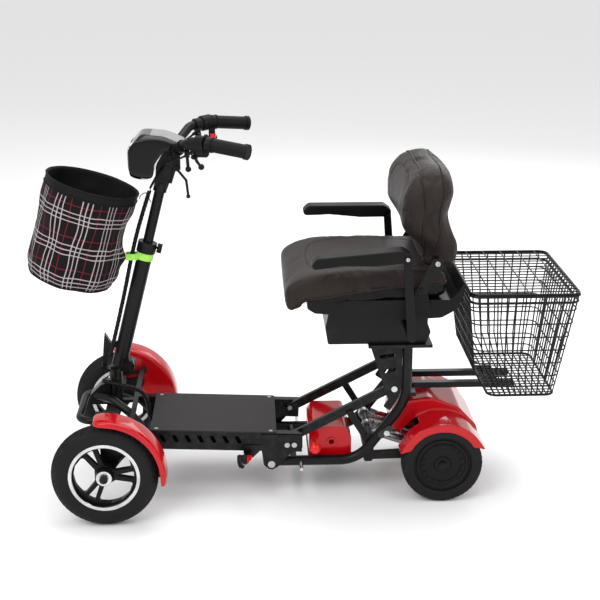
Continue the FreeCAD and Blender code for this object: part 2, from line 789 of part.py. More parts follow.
def make_head_pod():
    """Housing of the headlight and the dash, in front of the neck."""
    outline = [
        (68, 800, 14), (96, 788, 20), (124, 800, 14), (127, 830), (150, 862), (196, 866, 6), (200, 876, 4),
        (150, 896, 20), (96, 902, 16), (66, 868, 20),
    ]
    half = 62.0
    slab = upright_slab(outline, -half, half)
    fat = doc.addObject("Part::Ellipsoid", "fat")
    fat.Radius1, fat.Radius2, fat.Radius3 = 90, 110, half
    fat.Placement = Placement(Vector(118, 0, 846), Rotation(Vector(1, 0, 0), 90))
    bars = [sweep(bar_points(side), "dims.bar_r + 0.6") for side in (LEFT, RIGHT)]
    subpart(cut(common(slab, fat), *bars), "head_pod")


def bar_points(side):
    """Axis of one half of the handlebar, from the neck to the grip's end."""
    points = [(172, 0, 846), (176, 58, 862, 30), (205, 118, 892, 40), (255, 150, 897, 40), (345, 190, 886)]
    return flip(points, side)


def make_handlebar():
    """Swept-back bar; each half is bent from the neck up and back to its grip."""
    halves = []
    for side in (LEFT, RIGHT):
        halves.append(cut(tube(bar_points(side), "dims.bar_r"), box((100, -14.05, 800), (260, 14.05, 900))))
    subpart(group(*halves), "handlebar")


def grip_axis(side):
    start, end = [Vector(*p[:3]) for p in bar_points(side)[3:5]]
    return start, (end - start).normalize()


def make_grips():
    """Rubber grips with a collar and a ribbed end."""
    grips = []
    for side in (LEFT, RIGHT):
        start, along = grip_axis(side)
        solids = [
            cylinder("dims.grip_r", 92, tuple(start + along * 12), tuple(along)),
            cylinder(18, 9, tuple(start + along * 95), tuple(along)),
            cylinder(18, 4, tuple(start + along * 12), tuple(along)),
        ]
        bore = cylinder("dims.bar_r", 89.3, tuple(start + along * 10), tuple(along))
        grips.append(cut(fuse(*solids), bore))
    subpart(group(*grips), "grips")


def control_frame(side):
    """Origin of the controls on a straight stretch of the bar, and the directions along it and down."""
    bend, end = [Vector(*p[:3]) for p in bar_points(side)[2:4]]
    along = (end - bend).normalize()
    down = along.cross(Vector(0, side, 0))
    down = down if down.z < 0 else down * -1
    return bend + along * 22, along, down.normalize()


def lever_frame(side):
    """Pivot of a brake lever, its blade as a vector, and the axis of its pin."""
    start, along, down = control_frame(side)
    blade = Vector(17, side * 57, -12)
    return start - along + down * 30, blade, blade.cross(down).normalize()


def cable_stop(side):
    """Middle of the lever's bracket, and the direction in which its cable leaves."""
    start, along, down = control_frame(side)
    return start - along + down * 16, Vector(-36, side * -22, -25).normalize()


def lever_bracket(side):
    """Clamp on the bar with a fork and a pin for the lever, and a stop for the cable."""
    start, along, down = control_frame(side)
    pivot, blade, pin = lever_frame(side)
    stop, away = cable_stop(side)
    clamp = cylinder(15.5, 19, tuple(start - along * 8), tuple(along))
    fork = cylinder(7.5, 26, tuple(start - along + down * 8), tuple(down))
    barrel = cylinder(4, 16, tuple(stop), tuple(away))
    gap = cylinder(10, 10, tuple(pivot - pin * 5), tuple(pin))
    bore = cylinder("dims.bar_r + 0.02", 60, tuple(start - along * 30), tuple(along))
    shank = tuple(pivot - pin * 8.5), tuple(pin)
    return group(cut(fuse(clamp, fork, barrel), gap, bore, cylinder(2, 17, *shank)), cylinder(2, 17, *shank))


def control_housing(side):
    """Housing beside the grip, with the throttle's bulge on the left and the switch's box on the right."""
    start, along, down = control_frame(side)
    grip_start, grip_along = grip_axis(side)
    solids = [
        cylinder(19, 24.6, tuple(start + along * 11.4), tuple(along)),
        cylinder(17, 11, tuple(grip_start), tuple(grip_along)),
    ]
    if side == LEFT:
        solids.append(cylinder(14, 20, tuple(start + along * 13 + down * 17), tuple(along)))
    else:
        x, y, z = dim.rocker_x, dim.rocker_y, dim.rocker_z
        solids.append(box((x - 11, y + 5, z - 12), (x + 5, y + 15, z + 24)))
        for x_from in (x - 10, x + 7.6):
            solids.append(box((x_from, y - 2.2, z - 3), (x_from + 2.4, y + 15, z + 3)))
    return fuse(*solids)


def throttle_bracket():
    """Ring on the bar with a tab and a pin for the thumb paddle."""
    x, y, z = dim.throttle_x, dim.throttle_y, dim.throttle_z
    ring = cylinder(14.5, 8, (198.2, y - 5.4, 885), (-29, 60, -30))
    tab = box((x - 6, y - 4.4, z - 5), (x + 6, y - 0.4, z + 20))
    return fuse(ring, tab, across(2.5, x, z, y - 2, y + 8))


def park_perch():
    """Perch of the parking lever below the bar, with its cable adjuster."""
    x, y, z = dim.park_x, dim.park_y, dim.park_z
    ring = cylinder(15, 12, (182.5, y + 11, 867.5), (29, -60, 30))
    block = box((x - 9, y - 4, z - 4), (x + 9, y + 3.8, z + 38))
    adjuster = rod(4, (x - 3, y + 0.5, z + 4), (x - 16, y + 0.5, z - 36))
    return fuse(ring, block, across(7, x, z, y - 4, y + 3.8), adjuster)


def make_control_clamps():
    """Everything clamped on the bar: lever brackets, housings, the throttle's ring and the parking perch."""
    rocker_hole = cylinder(1.55, 24, (dim.rocker_x - 12, dim.rocker_y, dim.rocker_z), (1, 0, 0))
    park_hole = across(3.05, dim.park_x, dim.park_z, dim.park_y - 11, dim.park_y + 9)
    left_bar, right_bar = [sweep(bar_points(side), "dims.bar_r + 0.02") for side in (LEFT, RIGHT)]
    made = [
        lever_bracket(LEFT),
        cut(control_housing(LEFT), left_bar),
        cut(throttle_bracket(), left_bar),
        cut(park_perch(), left_bar, park_hole),
        lever_bracket(RIGHT),
        cut(control_housing(RIGHT), right_bar, rocker_hole),
    ]
    subpart(group(*made), "control_clamps")


def make_brake_lever(side):
    """Brake lever with a ball end, hinged on the pin in its bracket's fork."""
    down = control_frame(side)[2]
    pivot, blade, pin = lever_frame(side)
    bend = pivot + blade * 0.4 + down * 3
    tip = pivot + blade
    solids = [
        cylinder(6, 9, tuple(pivot - pin * 4.5), tuple(pin)),
        rod(3.6, tuple(pivot), tuple(bend)),
        rod(3.2, tuple(bend), tuple(tip)),
        ball(3.6, tuple(bend)),
        ball(7, tuple(tip)),
    ]
    bore = cylinder(2.05, 12, tuple(pivot - pin * 6), tuple(pin))
    subpart(cut(fuse(*solids), bore), f"brake_lever_{SIDE_NAMES[side]}")


def make_park_lever():
    """Parking lever that hangs from its perch below the bar, with a rounded tip."""
    x, y, z = dim.park_x, dim.park_y - 7.3, dim.park_z
    knee, tip = (x + 22, y, z - 28), (x + 26, y, z - 66)
    solids = [
        across(6, x, z, y - 2.2, y + 3),
        across(3, x, z, y - 2, y + 14),
        rod(3, (x, y, z), knee),
        ball(3, knee),
        rod(3, knee, tip),
        ball(5, (tip[0], y - 2, tip[2])),
    ]
    subpart(fuse(*solids), "park_lever")


def make_throttle():
    """Thumb paddle that hangs below the left side of the bar."""
    x, y, z = dim.throttle_x, dim.throttle_y, dim.throttle_z
    low = (x + 2, y + 4, z - 34)
    hub = cut(across(5.5, x, z, y, y + 7.6), across(2.55, x, z, y - 4, y + 10))
    subpart(fuse(hub, rod(3.7, (x, y + 3.8, z - 4.5), low), ball(7, low)), "throttle_paddle")


def make_rocker():
    """Rocker switch on its small pin, on the inner face of the right-hand housing."""
    x, y, z = dim.rocker_x, dim.rocker_y, dim.rocker_z
    body = box((x - 7, y - 3, z - 10), (x + 7, y + 3, z + 10))
    subpart(fuse(body, cylinder(1.5, 19, (x - 9.5, y, z), (1, 0, 0))), "rocker_switch")


def make_control_cables():
    """Brake cables that loop from the levers, below the bar, to the front of the post."""
    cables = []
    for side in (LEFT, RIGHT):
        stop, away = cable_stop(side)
        route = [
            tuple(stop + away * 16.3),
            (188, side * 107, 853),
            (158, side * 76, 842),
            (152, side * 42, 826),
            (137, side * 21, 806),
            (121, side * 18, 780),
            (112, side * 9, 764),
        ]
        cables.append(cord(route, dim.brake_cable_r))
    subpart(group(*cables), "control_cables")


# ---------------------------------------------------------------- rear frame


def frame_route(side):
    """Axis of a rear frame tube: back from the hinge, and up to the seat."""
    y = side * dim.frame_y
    return [(dim.fold_x, y, dim.fold_z), (613, y, dim.fold_z, 90), (731, y, 247, 130), (731, y, 388)]


def make_rear_frame():
    """Two bent tubes with their cross tubes, battery tray and hinge lugs."""
    solids = []
    y = dim.frame_y
    for side in (LEFT, RIGHT):
        solids.append(tube(frame_route(side), "dims.frame_tube_r"))
        solids.append(across(14, dim.fold_x, dim.fold_z, *span(side, y - 12, y + 12.4)))
        lug = [(622, 112), (652, 122), (656, 96), (648, 82, 6), (630, 82, 6)]
        solids.append(upright_slab(lug, *span(side, 97, 104)))
        brace = [(582, 214), (598, 222), (646, 142), (634, 130)]
        solids.append(upright_slab(brace, *span(side, 100.5, 105)))
    for x, z, radius in ((452, 90, 9), (640, 152, 9), (731, 352, 10)):
        solids.append(across(radius, x, z, -y, y))
    solids.append(across(9, dim.swing_x, dim.swing_z, -100, 100))
    solids.append(box((490, -98, 88), (600, 98, 92)))
    bores = []
    for side in (LEFT, RIGHT):
        bores.append(
            across("dims.fold_pin_r + dims.running_gap", dim.fold_x, dim.fold_z, *span(side, 80, 140))
        )
    subpart(cut(fuse(*solids), *bores), "rear_frame")


def make_rear_plates():
    """Side plates in the bend of the frame tubes, with two slots."""
    outline = [(640, 389), (718, 389), (718, 284), (712, 256), (690, 221), (674, 232, 4), (686, 250, 6)]
    slots = [
        [(664, 356, 3), (700, 362, 3), (700, 372, 3), (662, 366, 3)],
        [(676, 318, 3), (704, 324, 3), (704, 334, 3), (674, 328, 3)],
    ]
    body = side_plates("rear_plates", [outline] + slots, dim.plate_y, "plate_thick", [(700, 279, 4.1)])
    subpart(body, "rear_plates")


def make_struts():
    """Struts from the plates down to the deck's pins, each with an open hook at its lower end."""
    low, high = Vector(450, 0, 150), Vector(700, 0, 279)
    run = high - low
    angle = -math.degrees(math.atan2(run.z, run.x))
    made = []
    for side in (LEFT, RIGHT):
        y_from, y_to = span(side, dim.strut_y - 6, dim.strut_y + 6)
        bar = doc.addObject("Part::Box", "bar")
        bar.Length = run.Length + 26
        bar.setExpression("Width", "dims.strut_thick")
        bar.setExpression("Height", "dims.strut_deep")
        turn = Rotation(Vector(0, 1, 0), angle)
        base = low - turn.multVec(Vector(13, 0, dim.strut_deep / 2)) + Vector(0, y_from, 0)
        bar.Placement = Placement(base, turn)
        seat = across(6.4, low.x, low.z, y_from - 1, y_to + 1)
        mouth = doc.addObject("Part::Box", "mouth")
        mouth.Length, mouth.Width, mouth.Height = 12.8, 14, 40
        mouth_turn = Rotation(Vector(0, 1, 0), angle - 20)
        mouth_base = low + mouth_turn.multVec(Vector(-6.4, 0, 0)) + Vector(0, y_from - 1, 0)
        mouth.Placement = Placement(mouth_base, mouth_turn)
        hole = across(4.1, high.x, high.z, y_from - 1, y_to + 1)
        made.append(cut(bar, seat, mouth, hole))
    subpart(group(*made), "struts")


def make_frame_bolts():
    """Strut bolts, clamp bolts and the catch pins that the latch hook takes."""
    y = dim.frame_y
    solids = []
    for side in (LEFT, RIGHT):
        shank = across(4, 700, 279, *span(side, 88, 111))
        solids.append(fuse(shank, across(7.5, 700, 279, *span(side, 111, 116))))
        solids.append(across(4.5, 470, dim.fold_z, *span(side, y + 12.6, 163)))
        outline = [(668, 150, 6), (700, 176, 6), (690, 190, 6), (658, 164, 6)]
        plate = upright_slab(outline, *span(side, 122, 126))
        solids.append(fuse(plate, across(7, 682, 168, *span(side, 126, 130))))
    subpart(group(*solids), "frame_bolts")


def make_lock_plunger():
    """Pull knob of the fold lock beside the battery."""
    knob = ball(15, (505, -127, 131))
    shank = across(5, 505, 131, -118, -70)
    return subpart(fuse(knob, shank), "lock_plunger")


def make_battery():
    """Battery case on its tray, with the charging socket."""
    outline = [(492, 93, 6), (598, 93, 6), (598, 140, 12), (584, 170, 10), (506, 170, 10), (492, 150, 10)]
    case = upright_slab(outline, -86, 86)
    socket_ring = across(11, 548, 130, -90, -80)
    socket_hole = across(7, 548, 130, -100, -70)
    plunger_hole = across(5.05, 505, 131, -100, -60)
    subpart(cut(fuse(case, socket_ring), socket_hole, plunger_hole), "battery_case")


def make_swing_arm():
    """Arms from their hinge to the rear axle, with the cross tube that the shocks push on."""
    x, z = dim.swing_x, dim.swing_z
    axle = dim.wheelbase
    wheel = dim.rear_wheel_r
    outline = [
        (x - 12, z + 9, 8), (x - 12, z - 10, 8), (axle + 16, wheel - 14, 10),
        (axle + 16, wheel + 14, 10), (axle - 20, wheel + 11),
    ]
    solids = []
    for side in (LEFT, RIGHT):
        solids.append(upright_slab(outline, *span(side, 84, 95)))
        solids.append(across("dims.axle_r", axle, wheel, *span(side, 90, 181)))
        solids.append(across(12, axle, wheel, *span(side, 94, 127)))
        solids.append(across(9, axle, wheel, *span(side, 173, 179)))
    solids.append(across(10, 786, 100, -88, 88))
    bore = across("9 + dims.running_gap", x, z, -120, 120)
    subpart(cut(fuse(*solids), bore), "swing_arm")


def make_rear_wheel(side):
    """Hub motor with flat covers, and its tyre; the wheel's axis is the body's z."""
    name = SIDE_NAMES[side]
    turn = Rotation(Vector(0, 0, 1), Vector(0, side, 0))
    at = (dim.wheelbase, side * dim.rear_track / 2, dim.rear_wheel_r)
    half = dim.rear_hub_width / 2
    radius = dim.rear_hub_r
    bore = dim.axle_r + dim.running_gap
    hub = new_body("hub")
    profile = [
        (bore, -half), (60, -half), (64, -half + 3), (radius, -half + 3), (radius, half - 3), (66, half - 3),
        (64, half), (58, half), (56, half - 2), (22, half - 2), (20, half + 1), (bore, half + 1),
    ]
    revolve(hub, sketch(hub, "XZ_Plane", 0, [profile]))
    subpart(hub, f"rear_hub_{name}", at, turn)
    tyre = new_body("tyre")
    edge = dim.rear_tyre_width / 2
    profile = [
        (radius, -20), (72, -edge, 2), (90, -edge, 6), (dim.rear_wheel_r, -14, 8), (dim.rear_wheel_r, 14, 8),
        (90, edge, 6), (72, edge, 2), (radius, 20),
    ]
    revolve(tyre, sketch(tyre, "XZ_Plane", 0, [profile]))
    subpart(tyre, f"rear_tyre_{name}", at, turn)


def make_rear_hood():
    """One moulding: a mudguard over each rear wheel and the cowl between them."""
    axle, wheel = dim.wheelbase, dim.rear_wheel_r
    thick = 3.0
    guard = guard_outline(axle, wheel, 112.0)
    guard_inside = guard_outline(axle, wheel, 112.0 - thick, 6)
    cowl = [
        (698, 158), (704, 205, 14), (728, 234, 16), (800, 240, 40), (868, 214, 30), (912, 166, 14),
        (920, 138),
    ]
    cowl_inside = [
        (701, 120), (707, 204, 12), (730, 231, 14), (800, 237, 38), (866, 211, 28), (909, 165, 12),
        (917, 110),
    ]
    outer = fuse(upright_slab(guard, -179, 179), upright_slab(cowl, -82, 82))
    tools = [upright_slab(guard_inside, -176, 176), upright_slab(cowl_inside, -79, 79)]
    tools.append(across(88, axle, wheel, -190, 190))
    for side in (LEFT, RIGHT):
        y_from, y_to = span(side, 83, 125)
        tools.append(box((600, y_from, 60), (762, y_to, 300)))
    subpart(cut(outer, *tools), "rear_hood")


def guard_outline(x, z, radius, drop=0):
    """Outline of a mudguard's side: an arc over the wheel, closed below."""
    points = []
    for degrees in (163, 135, 105, 75, 48, 22):
        angle = math.radians(degrees)
        points.append((x + radius * math.cos(angle), z + radius * math.sin(angle)))
    start, end = points[0], points[-1]
    rounds = [0] + [radius * 0.9] * (len(points) - 2) + [0]
    outline = [p + (r,) if r else p for p, r in zip(points, rounds)]
    return outline + [(end[0], end[1] - drop - 1), (x, z + 60 - drop), (start[0], start[1] - drop - 1)]


def shock_line():
    """Both ends of a shock absorber: on the frame's cross tube and on the swing arm's."""
    return Vector(640, 0, 152), Vector(786, 0, 100)


def make_shocks():
    """Shock absorbers: the sprung bodies, their rods and the coils."""
    top, low = shock_line()
    run = (low - top).normalize()
    bodies, rods, coils = [], [], []
    length = (low - top).Length
    for side in (LEFT, RIGHT):
        shift = Vector(0, side * dim.shock_y, 0)
        start = top + shift
        end = low + shift
        y_from, y_to = start.y - 8, start.y + 8
        body = fuse(
            across(14, top.x, top.z, y_from, y_to),
            cylinder(9, 66, tuple(start + run * 11), tuple(run)),
            cylinder(19, 4, tuple(start + run * 14), tuple(run)),
        )
        bodies.append(cut(body, across("9 + dims.running_gap", top.x, top.z, y_from - 1, y_to + 1),
                          cylinder(5.3, 80, tuple(start + run * 30), tuple(run))))
        rod_part = fuse(
            cylinder(5, length - 52, tuple(start + run * 40), tuple(run)),
            cylinder(19, 4, tuple(start + run * (length - 24)), tuple(run)),
            across(15, low.x, low.z, y_from, y_to),
        )
        rods.append(cut(rod_part, across(10.6, low.x, low.z, y_from - 1, y_to + 1)))
        coil = cylinder(18.5, length - 42.4, tuple(start + run * 18.2), tuple(run))
        coils.append(cut(coil, cylinder(14.5, length, tuple(start), tuple(run))))
    subpart(group(*bodies), "shock_bodies")
    subpart(group(*rods), "shock_rods")
    subpart(group(*coils), "shock_springs")


# ---------------------------------------------------------------- seat


def make_seat_box():
    """Steel seat box on the frame, its mount, and the posts that carry the armrests."""
    outer = upright_slab(
        [(536, 396, 6), (776, 396, 10), (786, 425, 8), (778, 448), (780, 500), (542, 500), (530, 440)],
        -110, 110,
    )
    inner = upright_slab([(540, 399), (772, 399), (774, 497.5), (545, 497.5)], -107.5, 107.5)
    mount = box((634, -124, 389), (790, 124, 396.5))
    solids = [cut(outer, inner), mount]
    for side in (LEFT, RIGHT):
        solids.append(across(11, 726, 450, *span(side, 109, dim.armrest_y + 3)))
        post = [(700, 656, 8), (719, 656, 8), (737, 446, 8), (715, 444, 8)]
        solids.append(upright_slab(post, *span(side, dim.armrest_y - 3, dim.armrest_y + 3)))
        y_from, y_to = span(side, dim.armrest_y - 7, dim.armrest_y + 7)
        solids.append(across(6, dim.armrest_x, dim.armrest_z, y_from, y_to))
    subpart(fuse(*solids), "seat_box")


def make_seat_pan():
    """Moulded pan under the cushion: deep sides, a recess for the seat box and a raised rear lip."""
    outline = [
        (482, 512, 8), (500, 500, 8), (620, 490, 60), (720, 482, 60), (800, 486, 30), (838, 508, 20),
        (857, 566, 6), (850, 572), (838, 548, 14), (820, 530, 10), (482, 530),
    ]
    recess = box((500, -112, 470), (800, 112, 500.2))
    solids = [cut(upright_slab(outline, -185, 185), recess)]
    for side in (LEFT, RIGHT):
        ear = [(724, 506, 6), (772, 506, 6), (760, 568, 10), (737, 568, 10)]
        solids.append(upright_slab(ear, *span(side, 191, 195.4)))
        solids.append(box((724, span(side, 180, 192)[0], 506), (772, span(side, 180, 192)[1], 524)))
        solids.append(across(5, 748, 560, *span(side, 193, 203)))
    subpart(fuse(*solids), "seat_pan")


def make_seat_cushion():
    """Plain solid of the seat cushion, which droops in front of the pan; its upholstery swells from this."""
    outline = [
        (428, 552, 24), (431, 506, 12), (444, 495, 8), (464, 499, 8), (476, 531, 6), (806, 531, 16),
        (819, 560, 10), (806, 592, 16), (640, 600, 80), (480, 596, 40), (436, 574, 20),
    ]
    body = new_body("seat_cushion")
    pad(body, sketch(body, "XZ_Plane", 0, [outline]), "2 * dims.seat_half", both_ways=True)
    subpart(body, "seat_cushion")


def make_seat_back():
    """Plain solid of the backrest, with the side plates that hinge it to the seat."""
    outline = [
        (770, 600, 20), (836, 604, 16), (846, 640, 30), (824, 700, 60), (834, 784, 30), (806, 852, 20),
        (770, 850, 26), (716, 800, 40), (700, 720, 20), (708, 682, 14), (748, 676, 20), (764, 640, 30),
    ]
    body = new_body("backrest")
    pad(body, sketch(body, "XZ_Plane", 0, [outline]), "2 * dims.back_half", both_ways=True)
    solids = [body]
    for side in (LEFT, RIGHT):
        arm = [(736, 560, 10), (760, 548, 10), (796, 606, 8), (796, 634, 10), (774, 634, 10)]
        solids.append(upright_slab(arm, *span(side, 196, 199.6)))
        solids.append(across(8, 784, 622, *span(side, 180, 198)))
    bore = across(5.05, 748, 560, -210, 210)
    subpart(cut(fuse(*solids), bore), "seat_back")


def make_armrest(side):
    """Padded armrest, drawn about its hinge; the left one rests a little lower in front."""
    y_from, y_to = span(side, dim.armrest_y - dim.pad_width / 2, dim.armrest_y + dim.pad_width / 2)
    outline = [
        (-222, 6, 6), (-206, 22, 14), (-8, 22, 10), (10, 9, 7), (10, -9, 7), (-70, -10, 20), (-150, -2, 30),
        (-214, -4, 4),
    ]
    slot_y = span(side, dim.armrest_y - 3.6, dim.armrest_y + 3.6)
    slot = box((-16, slot_y[0], -60), (30, slot_y[1], 14))
    bore = across("6 + dims.running_gap", 0, 0, y_from - 5, y_to + 5)
    pad_body = cut(upright_slab(outline, y_from, y_to), slot, bore)
    droop = Rotation(Vector(0, 1, 0), -dim.left_droop if side == LEFT else 0)
    subpart(pad_body, f"armrest_{SIDE_NAMES[side]}", (dim.armrest_x, 0, dim.armrest_z), droop)


# ---------------------------------------------------------------- basket


def basket_solid(inset, lift):
    """Tapered body of the basket, drawn in by its wall; the front wall leans and is chamfered."""
    front, rear = dim.basket_front, dim.basket_rear
    top = dim.basket_top + (1 if inset else 0)
    floor = dim.basket_low + lift
    outline = [
        (front + inset, top), (rear - inset, top), (1090 - inset, floor), (924 + inset, floor),
        (890 + inset, 330),
    ]
    return upright_slab(outline, -dim.basket_half + inset, dim.basket_half - inset)


def make_rear_basket():
    """Basket behind the seat, open at the top; its side walls lean in towards the floor."""
    outer = basket_solid(0, 0)
    inner = basket_solid(dim.basket_wall, dim.basket_wall)
    lean = []
    for side in (LEFT, RIGHT):
        body = new_body("lean")
        top, low = dim.basket_half, 150.0
        wedge = [(side * top, 541), (side * (top + 60), 541), (side * (top + 60), 260), (side * low, 260)]
        pad(body, sketch(body, "YZ_Plane", 800, [wedge]), 400)
        lean.append(body)
    lean_in = []
    for side in (LEFT, RIGHT):
        body = new_body("lean_in")
        top, low = dim.basket_half - 4, 146.0
        wedge = [(side * top, 545), (side * (top + 60), 545), (side * (top + 60), 262), (side * low, 262)]
        pad(body, sketch(body, "YZ_Plane", 800, [wedge]), 400)
        lean_in.append(body)
    shell = cut(cut(outer, *lean), cut(inner, *lean_in))
    subpart(shell, "rear_basket")


def make_basket_lid():
    """Hinged wire lid on the basket's rim."""
    front, rear = dim.basket_front, dim.basket_rear
    half = dim.basket_half
    top = dim.basket_top
    sheet = box((front + 2, -half, top + 1), (rear, half, top + 6))
    hinge_rod = across(2, front + 2, top + 3, -half, half)
    subpart(fuse(sheet, hinge_rod), "basket_lid")


def make_basket_bars():
    """Two bars under the basket, their cross plate, and the stay to the basket's front."""
    solids = []
    for y in (-39, 39):
        solids.append(box((743, y - 9, 255), (1010, y + 9, 269.6)))
    solids.append(box((930, -70, 263), (970, 70, 269.6)))
    solids.append(box((732, -96, 252), (756, 96, 262)))
    subpart(fuse(*solids), "basket_bars")


# ---------------------------------------------------------------- the whole scooter


def make_all():
    make_sheet()
    make_deck_plate()
    make_deck_frame()
    make_front_beam()
    make_front_tubes()
    make_fold_brackets()
    make_deck_bolts()
    make_deck_cable()
    make_latch_hook()
    make_steering_column()
    make_tie_rod()
    for side in (LEFT, RIGHT):
        make_knuckle(side)
        make_front_wheel(side)
        make_front_fender(side)
        make_rear_wheel(side)
        make_brake_lever(side)
        make_armrest(side)
    make_stem_tube()
    make_clamp_knob()
    make_safety_button()
    make_stem_latch()
    make_strap()
    make_front_bag()
    make_stem_loom()
    make_post()
    make_head_pod()
    make_handlebar()
    make_grips()
    make_control_clamps()
    make_throttle()
    make_rocker()
    make_park_lever()
    make_control_cables()
    make_rear_frame()
    make_rear_plates()
    make_struts()
    make_frame_bolts()
    make_lock_plunger()
    make_battery()
    make_swing_arm()
    make_rear_hood()
    make_shocks()
    make_seat_box()
    make_seat_pan()
    make_seat_cushion()
    make_seat_back()
    make_rear_basket()
    make_basket_lid()
    make_basket_bars()


def check():
    """Stop on any failed feature, or on a sub-part without a sound solid."""
    doc.recompute()
    for obj in doc.Objects:
        if "Invalid" in obj.State or "Error" in obj.State:
            raise SystemExit(f"{obj.Name} ({obj.Label}): {obj.State}")
    for obj in SUBPARTS:
        if obj.Shape.isNull() or not obj.Shape.isValid() or not obj.Shape.Solids:
            raise SystemExit(f"{obj.Label}: its shape is not sound")


def write():
    os.makedirs("parts", exist_ok=True)
    for obj in SUBPARTS:
        obj.Shape.exportStep(f"parts/{obj.Label}.step")


def whole_box():
    bounds = FreeCAD.BoundBox()
    for obj in SUBPARTS:
        bounds.add(obj.Shape.BoundBox)
    return bounds


make_all()
check()
write()
print(len(SUBPARTS), "sub-parts", whole_box())
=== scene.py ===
import math

import bmesh
import bpy
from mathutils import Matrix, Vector, noise
from mathutils.bvhtree import BVHTree
from mathutils.kdtree import KDTree


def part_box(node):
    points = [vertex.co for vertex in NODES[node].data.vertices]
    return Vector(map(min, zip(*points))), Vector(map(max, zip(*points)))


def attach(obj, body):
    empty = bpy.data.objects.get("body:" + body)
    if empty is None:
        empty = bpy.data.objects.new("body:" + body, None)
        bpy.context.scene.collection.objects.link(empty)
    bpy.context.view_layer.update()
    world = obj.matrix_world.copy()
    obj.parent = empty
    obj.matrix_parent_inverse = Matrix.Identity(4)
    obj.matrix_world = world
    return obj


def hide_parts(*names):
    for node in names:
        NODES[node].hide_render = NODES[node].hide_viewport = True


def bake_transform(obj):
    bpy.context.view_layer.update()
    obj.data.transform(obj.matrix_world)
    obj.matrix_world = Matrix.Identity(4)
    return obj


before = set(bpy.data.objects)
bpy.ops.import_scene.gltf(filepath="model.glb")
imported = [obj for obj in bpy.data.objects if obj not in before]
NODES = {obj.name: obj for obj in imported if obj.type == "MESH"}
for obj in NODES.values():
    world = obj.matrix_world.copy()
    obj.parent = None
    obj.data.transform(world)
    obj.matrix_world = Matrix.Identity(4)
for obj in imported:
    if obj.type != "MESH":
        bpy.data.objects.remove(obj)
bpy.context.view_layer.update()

LEFT, RIGHT = -1, 1
NAMES = {LEFT: "left", RIGHT: "right"}


def middle(node):
    """Middle of a CAD node's box."""
    low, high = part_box(node)
    return (low + high) / 2


FRONT_AXLE = middle("front_tyre_left")
REAR_AXLE = middle("rear_tyre_left")


def spot(x, y, z):
    """A point given in millimetres rearward of the front axle, to the right, and above the ground."""
    return Vector((FRONT_AXLE.x + x / 1000, y / 1000, z / 1000))


# ---------------------------------------------------------------- shader building blocks


